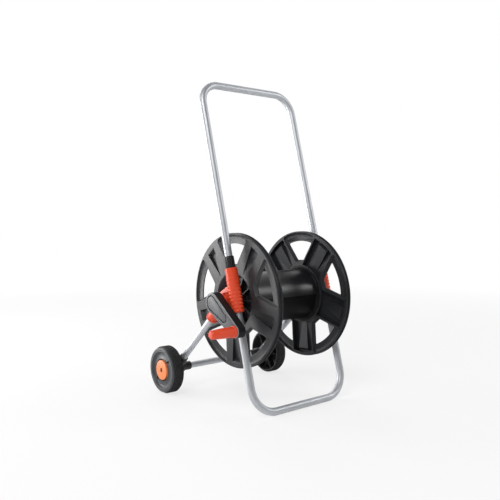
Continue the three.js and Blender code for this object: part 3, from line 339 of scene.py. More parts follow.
def copy_of(piece, name, matrix):
    """A moved copy of a piece, with its own mesh."""
    copy = piece.copy()
    copy.data = piece.data.copy()
    copy.name = name
    bpy.context.collection.objects.link(copy)
    copy.data.transform(matrix)
    copy.data.update()
    return copy


def both_sides(right, name):
    """Gives the left mirror image of a right piece and then the piece, each named for its side."""
    left = tidied(copy_of(right, "left", Matrix.Scale(-1, 4, RIGHT)))
    for side, piece in (("left", left), ("right", right)):
        piece.name = name.format(side)
        yield side, piece


def about_x(angle, place):
    """A turn about the X direction through a place."""
    return Matrix.Translation(place) @ Matrix.Rotation(angle, 4, "X") @ Matrix.Translation(-place)


def pipe(name, points, radius):
    """A round rod along a path, with closed ends."""
    piece = chain(name, points, closed=False)
    only(piece)
    bpy.ops.object.convert(target="CURVE")
    piece.data.bevel_depth = radius
    piece.data.bevel_resolution = 9
    piece.data.use_fill_caps = True
    bpy.ops.object.convert(target="MESH")
    return tidied(piece)


def painted(piece, finishes, choose):
    """Gives a piece several finishes, and each face the one whose number the rule returns."""
    for finish in finishes:
        piece.data.materials.append(FINISHES[finish])
    for face in piece.data.polygons:
        face.material_index = int(choose(face))


def finished(piece, finish, body, slot, *nodes, angle=32):
    """Smooths a piece and puts it in the place of its CAD nodes; a painted piece has no finish here."""
    if finish:
        piece.data.materials.clear()
        piece.data.materials.append(FINISHES[finish])
    only(piece)
    bpy.ops.object.shade_smooth_by_angle(angle=radians(angle))
    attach(piece, body)
    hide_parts(*nodes)


# ---------------------------------------------------------------- outlines

def arc(centre_a, centre_b, radius, start, end, steps):
    """Points along an arc, from one angle to another."""
    return [(centre_a + radius * cos(start + (end - start) * i / steps),
             centre_b + radius * sin(start + (end - start) * i / steps)) for i in range(steps + 1)]


def turned_outline(outline, angle):
    """An outline turned about its origin."""
    return [(a * cos(angle) - b * sin(angle), a * sin(angle) + b * cos(angle)) for a, b in outline]


def rounded(corners, radius, steps=6):
    """A polygon with each of its corners rounded."""
    outline = []
    for i, corner in enumerate(corners):
        here = Vector(corner)
        before = Vector(corners[i - 1]) - here
        after = Vector(corners[(i + 1) % len(corners)]) - here
        half = before.angle(after) / 2
        reach = min(radius / tan(half), 0.45 * before.length, 0.45 * after.length)
        centre = here + (before.normalized() + after.normalized()).normalized() * reach / cos(half)
        start = here + before.normalized() * reach - centre
        end = here + after.normalized() * reach - centre
        for step in range(steps + 1):
            ray = start.lerp(end, step / steps).normalized() * start.length
            outline.append(tuple(centre + ray))
    return outline


def tapered(big, small, span, steps=24):
    """Two circles and their tangents, the big one at the origin and the small one above it."""
    lean = asin((big - small) / span)
    return arc(0, span, small, lean, pi - lean, steps) + arc(0, 0, big, pi - lean, tau + lean, 2 * steps)


def between_spokes(sizes, outer, margin):
    """The space between two spokes, above the axis, widened by a margin all round but at its outer end."""
    half = pi / 5
    reach = sizes.spoke_half - margin
    fillet = 0.003 + margin
    outer_turn = half - asin((reach + fillet) / (outer - fillet))
    a, b = (outer - fillet) * sin(outer_turn), (outer - fillet) * cos(outer_turn)
    inner_b = sizes.opening_inner - margin + fillet
    inner_a = (inner_b * sin(half) - reach - fillet) / cos(half)
    return (arc(a, b, fillet, -half, pi / 2 - outer_turn, 6)
            + arc(0, 0, outer, pi / 2 - outer_turn, pi / 2 + outer_turn, 20)[1:-1]
            + arc(-a, b, fillet, pi / 2 + outer_turn, pi + half, 6)
            + arc(-inner_a, inner_b, fillet, pi + half, 1.5 * pi, 6)
            + arc(inner_a, inner_b, fillet, 1.5 * pi, tau - half, 6))


# ---------------------------------------------------------------- finishes

BUMP_DEPTH = 0.0001  # height of the grain and of the streaks at full strength
BUSH_IVORY = (0.72, 0.70, 0.62, 1)
MOULDED_INPUTS = (
    ("Colour", "NodeSocketColor", (0.1, 0.1, 0.1, 1)),
    ("Edge Colour", "NodeSocketColor", (0.3, 0.3, 0.3, 1)),
    ("Grain Scale", "NodeSocketFloat", 1800.0),
    ("Grain Depth", "NodeSocketFloat", 0.25),
    ("Roughness", "NodeSocketFloat", 0.45),
    ("Edge Wear And Highlight", "NodeSocketFloat", 0.35),
    ("Edge Radius", "NodeSocketFloat", 0.0006),
)
DRAWN_INPUTS = (
    ("Colour", "NodeSocketColor", (0.7, 0.7, 0.7, 1)),
    ("Roughness", "NodeSocketFloat", 0.3),
    ("Streaks", "NodeSocketFloat", 0.2),
)
SURFACE_OUTPUTS = (
    ("Colour", "NodeSocketColor"),
    ("Roughness", "NodeSocketFloat"),
    ("Normal", "NodeSocketVector"),
)


def node(tree, kind, inputs=None, **settings):
    """A node with its settings, and each input a value or another node's output."""
    made = tree.nodes.new(kind)
    for key, value in settings.items():
        setattr(made, key, value)
    for key, value in (inputs or {}).items():
        if isinstance(value, bpy.types.NodeSocket):
            tree.links.new(value, made.inputs[key])
        else:
            made.inputs[key].default_value = value
    return made


def mix_colours(tree, mask, first, second):
    """Two colours mixed by a mask, through a Mix node's colour sockets: inputs 6 and 7, output 2."""
    return node(tree, "ShaderNodeMix", {"Factor": mask, 6: first, 7: second}, data_type="RGBA").outputs[2]


def noise(tree, place, scale, detail, **more):
    """The grey level of a noise pattern."""
    inputs = {"Vector": place, "Scale": scale, "Detail": detail, **more}
    return node(tree, "ShaderNodeTexNoise", inputs).outputs["Fac"]


def remapped(tree, value, low, high, to_low, to_high):
    """A value brought from one range to another, and kept within it."""
    inputs = {"Value": value, "From Min": low, "From Max": high, "To Min": to_low, "To Max": to_high}
    return node(tree, "ShaderNodeMapRange", inputs).outputs["Result"]


def maths(tree, operation, first, second):
    """Two values added, multiplied or otherwise put together."""
    return node(tree, "ShaderNodeMath", {0: first, 1: second}, operation=operation).outputs["Value"]


def clouded(tree, place, scale, detail, base, low, high):
    """A colour made a little darker and lighter in soft clouds."""
    shade = remapped(tree, noise(tree, place, scale, detail), 0.3, 0.7, low, high)
    return node(tree, "ShaderNodeVectorMath", {0: base, "Scale": shade}, operation="SCALE").outputs["Vector"]


def surface_group(name, inputs, wire):
    """A group with named sockets; wire makes its colour, roughness and normal from what it is given."""
    group = bpy.data.node_groups.new(name, "ShaderNodeTree")
    for label, kind, default in inputs:
        socket = group.interface.new_socket(label, in_out="INPUT", socket_type=kind)
        socket.default_value = default
    for label, kind in SURFACE_OUTPUTS:
        group.interface.new_socket(label, in_out="OUTPUT", socket_type=kind)
    given = group.nodes.new("NodeGroupInput").outputs
    out = group.nodes.new("NodeGroupOutput")
    place = node(group, "ShaderNodeTexCoord").outputs["Object"]
    for socket, result in zip(out.inputs, wire(group, given, place)):
        group.links.new(result, socket)
    return group


def moulded(group, given, place):
    """Fine grain, flow shading and lighter edges of a moulded plastic surface: partly wear, partly a painted
    highlight along each edge.
    """
    grain = noise(group, place, given["Grain Scale"], 3.0, Roughness=0.6)
    spots = noise(group, place, 260.0, 4.0)
    bevel = node(group, "ShaderNodeBevel", {"Radius": given["Edge Radius"]}, samples=4).outputs["Normal"]
    flat = node(group, "ShaderNodeNewGeometry").outputs["Normal"]
    turning = node(group, "ShaderNodeVectorMath", {0: bevel, 1: flat}, operation="DOT_PRODUCT")
    edge = remapped(group, turning.outputs["Value"], 0.995, 0.90, 0.0, 1.0)
    patch = remapped(group, spots, 0.35, 0.65, 0.35, 1.0)
    # edges, in patches, drawn towards the lighter edge colour: partly wear, partly a painted highlight where
    # light catches an edge
    wear_and_highlight = maths(group, "MULTIPLY", maths(group, "MULTIPLY", edge, patch), given["Edge Wear And Highlight"])
    tinted = clouded(group, place, 22.0, 5.0, given["Colour"], 0.93, 1.07)
    colours = mix_colours(group, wear_and_highlight, tinted, given["Edge Colour"])
    roughness = maths(group, "ADD", remapped(group, spots, 0.3, 0.7, -0.05, 0.05), given["Roughness"])
    bump = node(group, "ShaderNodeBump", {"Strength": given["Grain Depth"], "Distance": BUMP_DEPTH,
                                          "Height": grain, "Normal": bevel})
    return colours, roughness, bump.outputs["Normal"]


def drawn(group, given, place):
    """Faint lengthwise streaks and a little unevenness of drawn and coated tube."""
    stretched = node(group, "ShaderNodeMapping", {"Vector": place, "Scale": (260.0, 260.0, 9.0)})
    lines = noise(group, stretched.outputs["Vector"], 4.0, 3.0)
    colours = clouded(group, place, 30.0, 4.0, given["Colour"], 0.95, 1.04)
    roughness = maths(group, "ADD", remapped(group, lines, 0.3, 0.7, -0.015, 0.015), given["Roughness"])
    bump = node(group, "ShaderNodeBump", {"Strength": given["Streaks"], "Distance": BUMP_DEPTH,
                                          "Height": lines})
    return colours, roughness, bump.outputs["Normal"]


def surfaced(name, group, inputs, **fixed):
    """A material whose shader takes colour, roughness and normal from a group."""
    made = bpy.data.materials.new(name)
    made.use_nodes = True
    tree = made.node_tree
    shader = tree.nodes["Principled BSDF"]
    source = node(tree, "ShaderNodeGroup", inputs, node_tree=group)
    for given, wanted in (("Colour", "Base Color"), ("Roughness", "Roughness"), ("Normal", "Normal")):
        tree.links.new(source.outputs[given], shader.inputs[wanted])
    for key, value in fixed.items():
        shader.inputs[key.replace("_", " ")].default_value = value
    return made


def lighter(value, amount):
    """A colour brought some way towards white."""
    return (*(c + (1 - c) * amount for c in value[:3]), 1.0)


def plastic(name, base, group, roughness, grain=0.25, wear_and_highlight=0.3, edge=0.25, radius=0.0006, **fixed):
    """A moulded plastic whose edges are lighter than its base colour, partly as wear and partly as a painted
    highlight.
    """
    return surfaced(name, group, {"Colour": base, "Edge Colour": lighter(base, edge), "Roughness": roughness,
                                  "Grain Depth": grain, "Edge Wear And Highlight": wear_and_highlight, "Edge Radius": radius}, **fixed)


class REEL_OT_finishes(bpy.types.Operator):
    """Makes every material of the cart"""
    bl_idname = "reel.finishes"
    bl_label = "Finishes"

    def execute(self, context):
        colours = context.scene.reel_colours
        plain = surface_group("Moulded surface", MOULDED_INPUTS, moulded)
        metal = surface_group("Drawn metal", DRAWN_INPUTS, drawn)
        FINISHES.update(
            orange=plastic("orange moulding", colours.orange, plain, 0.36, grain=0.12, edge=0.3,
                           radius=0.0008),
            cap=plastic("hub cap moulding", colours.cap, plain, 0.4, grain=0.12),
            black=plastic("black moulding", colours.black, plain, 0.42),
            flange=plastic("flange moulding", colours.flange, plain, 0.46, wear_and_highlight=0.45, edge=0.4),
            flange_back=plastic("flange back", colours.flange_back, plain, 0.4, grain=0.05, wear_and_highlight=0.4,
                                edge=0.2, Specular_IOR_Level=0.14),
            barrel=plastic("barrel moulding", colours.barrel, plain, 0.34, grain=0.0, wear_and_highlight=0.2),
            barrel_lower=plastic("matt shaded barrel moulding", colours.barrel_lower, plain, 0.4, grain=0.0,
                                 wear_and_highlight=0.2, Specular_IOR_Level=0.1),
            crank_face=plastic("crank face", colours.crank_face, plain, 0.44, edge=0.5, wear_and_highlight=0.8,
                               radius=0.0009),
            crank_edge=plastic("crank edge", colours.crank_edge, plain, 0.35),
            crank_side=plastic("crank side", colours.barrel, plain, 0.4, wear_and_highlight=0.2, edge=0.15,
                               Specular_IOR_Level=0.2),
            tread=plastic("tread", colours.tread, plain, 0.66, grain=0.4, wear_and_highlight=0.4, edge=0.15,
                          Specular_IOR_Level=0.3),
            wheel=plastic("wheel moulding", colours.wheel, plain, 0.42, grain=0.3),
            rubber=plastic("seal rubber", colours.black, plain, 0.7, grain=0.4, wear_and_highlight=0.0),
            bush=plastic("bush plastic", BUSH_IVORY, plain, 0.35, grain=0.05),
            tube=surfaced("silver tube", metal, {"Colour": colours.tube, "Roughness": 0.50, "Streaks": 0.03},
                          Metallic=0.85),
            zinc=surfaced("zinc steel", metal, {"Colour": colours.zinc, "Roughness": 0.28, "Streaks": 0.3},
                          Metallic=1.0),
        )
        return {"FINISHED"}


# ---------------------------------------------------------------- frame

TUBE_GAP = 0.0023  # from the middle of a sleeve to the end of each tube in it
HANDLE_BORE = (0.3208, 0.380)  # from start to end along an upright, from the foot bar's axis
FOOT_BORE = (0.258, 0.3172)
SOCKET_BORE = (0.0243, 0.085)  # along a leg, from the drum's axis
CARRIER_BORE = (0.0143, 0.060)  # along a leg, from the wheels' axis
CROSS_BORE_END = 0.1303  # from the middle to the seat of the axle tube


def on_upright(sizes, along, x=0.0):
    """A place on an upright's axis, counted from the foot bar's axis."""
    return Vector((x, along * sin(sizes.lean), sizes.tube_radius + along * cos(sizes.lean)))


def upright_direction(sizes):
    """The way up along the leaning uprights."""
    return Vector((0, sin(sizes.lean), cos(sizes.lean)))


def leg_direction():
    """The way down along the rear legs."""
    return (AXLE - DRUM).normalized()


def on_leg(along, x=0.0):
    """A place on a rear leg's axis, counted from the drum's axis."""
    return DRUM + leg_direction() * along + RIGHT * x


def bent_path(sizes, leg_end, bar, corner):
    """Stations of one bent tube, from one bracket around two corners to the other bracket."""
    side = 1 if bar > leg_end else -1
    bend = [(sizes.half_width - corner + a, bar - side * (corner - b))
            for a, b in arc(0, 0, corner, 0, pi / 2, 20)]
    right = [(sizes.half_width, leg_end)] + bend
    left = [(-x, along) for x, along in reversed(right)]
    return [on_upright(sizes, along, x) for x, along in right + left]


def frame_tube(name, path, radius):
    """One tube of the frame along its path, in the place of the node of that name."""
    finished(pipe(f"{name}_round", path, radius), "tube", "frame", "frame_tube", name)


class REEL_OT_tubes(bpy.types.Operator):
    """Models the bent tubes of the frame, the rear legs and the axle tube"""
    bl_idname = "reel.tubes"
    bl_label = "Frame tubes"

    def execute(self, context):
        sizes = context.scene.reel_frame
        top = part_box("handle_tube")[1][2] - sizes.tube_radius
        reach = (top - sizes.tube_radius) / cos(sizes.lean)
        middle = (sizes.sleeve_low + sizes.sleeve_high) / 2
        handle = bent_path(sizes, middle + TUBE_GAP, reach, sizes.handle_corner)
        frame_tube("handle_tube", handle, sizes.tube_radius)
        foot = bent_path(sizes, middle - TUBE_GAP, 0, sizes.foot_corner)
        frame_tube("foot_tube", foot, sizes.tube_radius)
        start = SOCKET_BORE[0] + FIT
        end = (AXLE - DRUM).length - CARRIER_BORE[0] - FIT
        for side, x in (("left", -sizes.half_width), ("right", sizes.half_width)):
            frame_tube(f"rear_leg_{side}", [on_leg(start, x), on_leg(end, x)], sizes.leg_radius)
        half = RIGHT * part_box("axle_tube")[1][0]
        frame_tube("axle_tube", [AXLE - half, AXLE + half], sizes.leg_radius)
        return {"FINISHED"}


class REEL_OT_collars(bpy.types.Operator):
    """Models the fluted collars on top of the brackets"""
    bl_idname = "reel.collars"
    bl_label = "Handle collars"

    def execute(self, context):
        sizes = context.scene.reel_frame
        start = on_upright(sizes, sizes.sleeve_high + FIT, sizes.half_width)
        axis = upright_direction(sizes)
        across = RIGHT.cross(axis)
        flutes = 14
        steps = 12 * flutes

        def fluted(along, radius, depth):
            """A loop around the tube, at a height, with flutes of a depth."""
            loop = []
            for t in (tau * i / steps for i in range(steps)):
                reach = radius - depth * (0.5 - 0.5 * cos(flutes * t))
                loop.append(start + axis * along + (RIGHT * cos(t) + across * sin(t)) * reach)
            return loop

        # height, how far within the collar's radius, and depth of the flutes
        stations = ((0, 0.0004, 0.0012), (0.0008, 0, 0.0013), (0.0245, 0, 0.0013), (0.0265, 0.0004, 0.0006),
                    (0.030, 0.0004, 0), (0.031, 0.0012, 0))
        collar = lofted("collar", [fluted(along, sizes.collar_radius - less, depth)
                                   for along, less, depth in stations])
        carved(collar, rod("bore", -OVERRUN, 0.033, sizes.tube_radius + FIT, start, axis))
        for side, piece in both_sides(collar, "handle_collar_{}_fluted"):
            finished(piece, "black", "frame", "black_plastic", f"handle_collar_{side}", angle=50)
        return {"FINISHED"}


def sleeve_profile(sizes):
    """Saw-tooth rings that stand out more towards the foot, below a smooth top."""
    low, high = sizes.sleeve_low, sizes.sleeve_high
    foot, top = sizes.sleeve_low_radius, sizes.sleeve_high_radius
    pitch = (high - low) * 0.78 / sizes.ring_count
    profile = [(low, 0), (low, foot - 0.0008), (low + 0.0012, foot)]
    for i in range(sizes.ring_count):
        share = (i + 1) / sizes.ring_count
        root = foot + (top - foot) * share
        step = sizes.ring_step * (1 - 0.65 * share ** 2)
        start = low + i * pitch
        profile += [(start + pitch * 0.28, root + step * 0.7), (start + pitch * 0.62, root + step),
                    (start + pitch * 0.80, root + step * 0.8), (start + pitch * 0.88, root - step * 0.1),
                    (start + pitch, root - step * 0.1)]
    return profile + [(high - 0.0015, top), (high, top - 0.0008), (high, 0)]


def leg_outline_point(along, across=0.0):
    """A point of the web's outline beside a rear leg's axis, from the drum's axis."""
    direction = leg_direction()
    return (direction.y * along - direction.z * across, direction.z * along + direction.y * across)


def upright_outline_point(sizes, along):
    """A point of the web's outline on the upright's axis, from the drum's axis."""
    place = on_upright(sizes, along) - DRUM
    return (place.y, place.z)


class REEL_OT_brackets(bpy.types.Operator):
    """Models the side brackets: ringed sleeve, web with its pocket, boss and leg socket"""
    bl_idname = "reel.brackets"
    bl_label = "Side brackets"

    def execute(self, context):
        sizes = context.scene.reel_frame
        x = sizes.half_width
        foot_end = on_upright(sizes, 0, x)
        axis = upright_direction(sizes)
        leg_start = DRUM + RIGHT * x
        bracket = turned("sleeve", sleeve_profile(sizes), foot_end, axis, 72)
        united(bracket, self.socket(sizes, leg_start), self.boss(sizes), self.web(sizes))
        carved(bracket, self.pocket(sizes))
        for low, high in (HANDLE_BORE, FOOT_BORE):
            carved(bracket, rod("bore", low, high, sizes.tube_radius + FIT, foot_end, axis))
        carved(bracket, rod("bore", *SOCKET_BORE, sizes.leg_radius + FIT, leg_start, leg_direction()))
        for side, piece in both_sides(bracket, "bracket_{}_ribbed"):
            finished(piece, "orange", "frame", "orange_plastic", f"bracket_{side}", angle=28)
        return {"FINISHED"}

    def socket(self, sizes, start):
        """The leg's socket, with a lip at its end."""
        radius, end = sizes.socket_radius, sizes.socket_length
        lip = radius + 0.0012
        profile = [(0.004, 0), (0.004, radius - 0.001), (0.006, radius), (end - 0.007, radius),
                   (end - 0.006, lip), (end - 0.0008, lip), (end, radius + 0.0004), (end, 0)]
        return turned("socket", profile, start, leg_direction(), 72)

    def boss(self, sizes):
        """The boss that holds the drum's bearing, from the bracket's inner face outwards."""
        low, high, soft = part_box("bracket_right")[0][0], 0.178, 0.001
        radius = sizes.boss_radius
        profile = [(low, 0), (low, radius - soft), (low + soft, radius), (0.177, radius),
                   (high, radius - soft), (high, 0)]
        return turned("boss", profile, DRUM, RIGHT, 72)

    def web(self, sizes):
        """The plate between the sleeve and the leg's socket."""
        corners = [upright_outline_point(sizes, sizes.sleeve_low + 0.002),
                   upright_outline_point(sizes, sizes.sleeve_low + 0.078),
                   (0.018, 0.021), leg_outline_point(0.052), (0.013, -0.033), (-0.010, -0.017)]
        x, half = sizes.half_width, sizes.web_thickness / 2
        return softened(plate("web", rounded(corners, 0.006), x - half, x + half), 0.0015, 3)

    def pocket(self, sizes):
        """The shallow hollow in the web's outer face."""
        corners = [upright_outline_point(sizes, sizes.sleeve_low + 0.056), (0.004, 0.021), (-0.015, 0.014),
                   upright_outline_point(sizes, sizes.sleeve_low + 0.036)]
        x, thickness = sizes.half_width, sizes.web_thickness
        depth = 0.0025
        return plate("pocket", rounded(corners, 0.005), x + thickness / 2 - depth, x + thickness)


class REEL_OT_carriers(bpy.types.Operator):
    """Models the axle carriers with their leg sockets"""
    bl_idname = "reel.carriers"
    bl_label = "Axle carriers"

    def execute(self, context):
        sizes = context.scene.reel_frame
        low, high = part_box("axle_carrier_right")
        inner, outer = low[0], high[0]
        shoulder = inner + 0.022
        slim, wide, soft = 0.0126, 0.015, 0.0008
        body = turned("carrier", [(inner, 0), (inner, slim - soft), (inner + soft, slim),
                                  (shoulder - 0.002, slim), (shoulder, wide - soft), (shoulder + 0.002, wide),
                                  (outer - soft, wide), (outer, wide - soft), (outer, 0)], AXLE, RIGHT, 64)
        leg_end = AXLE + RIGHT * sizes.half_width
        upwards = -leg_direction()
        socket = turned("socket", [(0.003, 0), (0.003, 0.013), (0.050, 0.013), (0.0515, 0.0124),
                                   (0.057, 0.0124), (0.058, 0.0115), (0.058, 0)], leg_end, upwards, 64)
        united(body, socket)
        hole = sizes.leg_radius + FIT
        carved(body, rod("bore", *CARRIER_BORE, hole, leg_end, upwards),
               rod("bore", inner - 0.002, CROSS_BORE_END, hole, AXLE))
        softened(body, 0.0007, 2, 50)
        for side, piece in both_sides(body, "axle_carrier_{}_round"):
            finished(piece, "black", "frame", "black_plastic", f"axle_carrier_{side}")
        return {"FINISHED"}


# ---------------------------------------------------------------- wheels

RIM_WIDTH = 0.038
SLOT_DEPTH = 0.0094


def around(place, count, first, make):
    """Copies of a piece that stands above an axis, turned to their places around it and joined."""
    model = make()
    pieces = [copy_of(model, model.name, about_x(first + tau * i / count, place)) for i in range(count)]
    bpy.data.objects.remove(model)
    return joined(pieces)


def tread_lugs(radius, height, low, high):
    """Rows of small lugs around the tread, joined into one piece."""
    rows, count = 5, 84
    pitch = (high - low) / rows
    sunk = 0.0012
    bpy.ops.object.select_all(action="DESELECT")
    bpy.ops.mesh.primitive_cube_add(size=1, location=(0, 0, 0))
    lug = bpy.context.object
    lug.data.transform(Matrix.Diagonal((pitch * 0.74, 0.0034, height + sunk, 1)))
    softened(lug, 0.0004, 1, 30)
    out = Matrix.Translation((0, 0, radius + (height - sunk) / 2))
    lugs = []
    for row in range(rows):
        centre = Matrix.Translation((low + pitch * (row + 0.5), AXLE.y, AXLE.z))
        for i in range(count):
            angle = tau * (i + (row % 2) / 2) / count
            lugs.append(copy_of(lug, "lug", centre @ Matrix.Rotation(angle, 4, "X") @ out))
    bpy.data.objects.remove(lug)
    return joined(lugs)


class REEL_OT_wheels(bpy.types.Operator):
    """Models the wheels with their tread, dished disc and ribs, and the hub caps"""
    bl_idname = "reel.wheels"
    bl_label = "Wheels"

    def execute(self, context):
        sizes = context.scene.reel_wheel
        low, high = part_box("wheel_right")
        outer = high[0]
        inner = outer - RIM_WIDTH
        radius = (high[2] - low[2]) / 2 - sizes.lug_height
        wheel = turned("wheel", self.profile(low[0], inner, outer, radius), AXLE, RIGHT, 120)
        slot_outline = rounded([(-0.0030, 0.0300), (0.0030, 0.0300), (0.0036, 0.0470), (-0.0036, 0.0470)],
                               0.001, 3)
        carved(wheel, around(AXLE, 2, radians(47),
                             lambda: plate("slot", slot_outline, outer - SLOT_DEPTH, outer, AXLE)))
        rib_outline = [(-0.0013, 0.0095), (0.0013, 0.0095), (0.0013, 0.0615), (-0.0013, 0.0615)]
        united(wheel, around(AXLE, 6, tau / 12,
                             lambda: plate("rib", rib_outline, inner + 0.003, inner + 0.0225, AXLE)))
        wheel = joined([wheel, tread_lugs(radius, sizes.lug_height, inner + 0.004, outer - 0.0085)])

        def dark(face):
            """Whether a face is on the tread, in a slot or under the hub cap; in the slots and under the cap
            the dark colour is painted shade.
            """
            reach = (face.center - AXLE).yz.length
            tread = reach > radius - 0.0035 and face.center.x < outer - 0.0065
            slotted = reach < 0.050 and -0.0115 < face.center.x - outer < -0.0074 and face.normal.x > -0.3
            return tread or slotted or reach < 0.0320

        # the slots and the hollow under the hub cap take the tread's dark colour as painted shade
        painted(wheel, ("wheel", "tread"), dark)
        cap = self.cap(sizes)
        for side, piece in both_sides(wheel, "wheel_{}_treaded"):
            finished(piece, None, f"{side}_wheel", "wheel_plastic", f"wheel_{side}")
        for side, piece in both_sides(cap, "hub_cap_{}_round"):
            finished(piece, "cap", f"{side}_wheel", "orange_plastic", f"hub_cap_{side}")
        return {"FINISHED"}

    def profile(self, hub_end, inner, outer, radius):
        """Half section of the wheel, from its inner rim over the tread and the dished disc to the hub."""
        rim, cap_seat, hub, bore = 0.0605, 0.0315, 0.011, 0.0054
        tread = [(inner, rim), (inner, radius - 0.0045), (inner + 0.0015, radius - 0.0020),
                 (inner + 0.005, radius - 0.0006), (inner + 0.012, radius), (outer - 0.014, radius),
                 (outer - 0.0085, radius - 0.0004), (outer - 0.0075, radius - 0.0012),
                 (outer - 0.0070, radius - 0.0030), (outer - 0.0062, radius - 0.0030)]
        shoulder = [(outer - 0.0045 + a, radius - 0.0068 + b) for a, b in arc(0, 0, 0.0045, pi / 2, 0, 6)]
        dish = [(outer, 0.0530), (outer - 0.0008, 0.0522), (outer - 0.0056, 0.0494),
                (outer - 0.0068, 0.0474), (outer - 0.0070, 0.0440), (outer - 0.0060, 0.0380),
                (outer - 0.0046, 0.0342), (outer - 0.0036, 0.0328), (outer - 0.0036, 0.0322),
                (outer - 0.0044, cap_seat), (outer - 0.012, cap_seat), (outer - 0.012, bore)]
        back = [(hub_end, bore), (hub_end, hub - 0.0005), (hub_end + 0.0005, hub), (inner + 0.022, hub),
                (inner + 0.026, 0.036), (inner + 0.0305, rim)]
        return tread + shoulder + dish + back

    def cap(self, sizes):
        """The hub cap: a disc with a hole and a skirt."""
        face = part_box("hub_cap_right")[1][0]
        hole, rim = sizes.cap_hole, sizes.cap_radius
        wall = rim - 0.002
        profile = [(face - 0.002, hole), (face - 0.002, wall), (face - 0.011, wall), (face - 0.011, rim),
                   (face - 0.0015, rim), (face - 0.0005, rim - 0.0004), (face, rim - 0.0014),
                   (face, hole + 0.0006), (face - 0.0006, hole)]
        return turned("cap", profile, AXLE, RIGHT, 96)


# ---------------------------------------------------------------- drum

LEDGE = 0.001  # strip of web that stays around an opening
INLET = DRUM + RIGHT * 0.190
OUTLET = DRUM + RIGHT * 0.070
OUTLET_TURN = radians(-25)  # below level, through the barrel's seam behind the axis


def trough(sizes, margin, top):
    """The hollow in a spoke's outer face, grown by a margin for the wall behind it."""
    face = sizes.inner_face + sizes.thickness
    floor = face - sizes.trough_depth - margin
    half, end = sizes.trough_half + margin, sizes.radius - 0.016 + margin
    tip = sizes.trough_tip + margin
    start = 0.080
    corners = [(tip, start, face - margin), (tip, start, top), (half, end, top),
               (half - 0.002, end - 0.008, floor)]
    return hull("trough", [DRUM + Vector((x, side * a, b)) for a, b, x in corners for side in (1, -1)])


def flange_opening(sizes):
    """The opening between two spokes, through the whole flange."""
    outline = between_spokes(sizes, sizes.radius - sizes.rim_band, 0)
    return plate("opening", outline, sizes.inner_face - OVERRUN,
                 sizes.inner_face + sizes.thickness + OVERRUN)


def recess(sizes, outward):
    """The space between two spokes, from a face of the flange down to its web, with a cove along the rim."""
    depth = (sizes.thickness - sizes.web) / 2
    web = sizes.inner_face + sizes.thickness / 2 + outward * sizes.web / 2
    rim = sizes.radius - sizes.rim_face
    steps = 6
    loops = []
    for i in range(steps + 1):
        t = pi / 2 * i / steps
        rise = 1 - cos(t)
        reach = rim - sizes.rim_slope * (1 - sin(t))
        outline = between_spokes(sizes, reach, LEDGE + sizes.spoke_bevel * rise)
        loops.append(in_plane(DRUM, outline, web + outward * depth * rise))
    outline = between_spokes(sizes, rim, LEDGE + sizes.spoke_bevel)
    loops.append(in_plane(DRUM, outline, web + outward * (depth + OVERRUN)))
    return lofted("recess", loops)


def spoke_pocket(sizes):
    """The hollow behind a spoke, between the rim and the hub's ring."""
    half = sizes.spoke_half - LEDGE - sizes.spoke_bevel - sizes.skin
    start, end = 0.083, sizes.radius - 0.009
    outer, inner = asin(half / end), asin(half / start)
    outline = (arc(0, 0, end, pi / 2 - outer, pi / 2 + outer, 18)
               + arc(0, 0, start, pi / 2 + inner, pi / 2 - inner, 18))
    return plate("pocket", outline, sizes.inner_face - OVERRUN,
                 sizes.inner_face + sizes.thickness - sizes.skin)


def flange_blank(sizes):
    """Rim, face, hub dish and spigot in one turned piece; its profile starts at the hose side."""
    face, rim = sizes.thickness, sizes.radius
    groove = rim - sizes.groove_depth
    bore, spigot = 0.0124, 0.0667
    spigot_end, dish_floor = -0.014, -0.011
    inside = [(spigot_end, bore), (spigot_end, 0.066), (-0.0133, spigot), (0, spigot)]
    lips = [(0, rim - 0.0006), (0.0006, rim), (0.0026, rim), (0.003, rim - 0.0004), (0.0032, groove),
            (face - 0.0047, groove), (face - 0.0044, rim - 0.0004), (face - 0.004, rim),
            (face - 0.002, rim), (face - 0.0009, rim - 0.0005), (face - 0.0003, rim - 0.0013),
            (face, rim - 0.0024)]
    dish = [(face, sizes.dish_radius + 0.0008), (face - 0.0006, sizes.dish_radius), (0.010, 0.070),
            (0.004, 0.0655), (-0.002, 0.062), (-0.0095, 0.0603), (dish_floor, 0.0588), (dish_floor, 0.0255),
            (-0.0095, 0.0243), (0.0075, 0.0222), (0.008, 0.0214), (0.008, bore)]
    profile = [(sizes.inner_face + along, radius) for along, radius in inside + lips + dish]
    return turned("flange", profile, DRUM, RIGHT, 180)


def dish_rib(sizes):
    """One rib of the hub's dish, between its boss and its wall."""
    outline = [(-0.012, 0.021), (-0.012, 0.063), (-0.002, 0.063), (0.005, 0.021)]
    half = 0.00125
    loops = [[DRUM + Vector((sizes.inner_face + along, side, radius)) for along, radius in outline]
             for side in (-half, half)]
    return lofted("rib", loops)


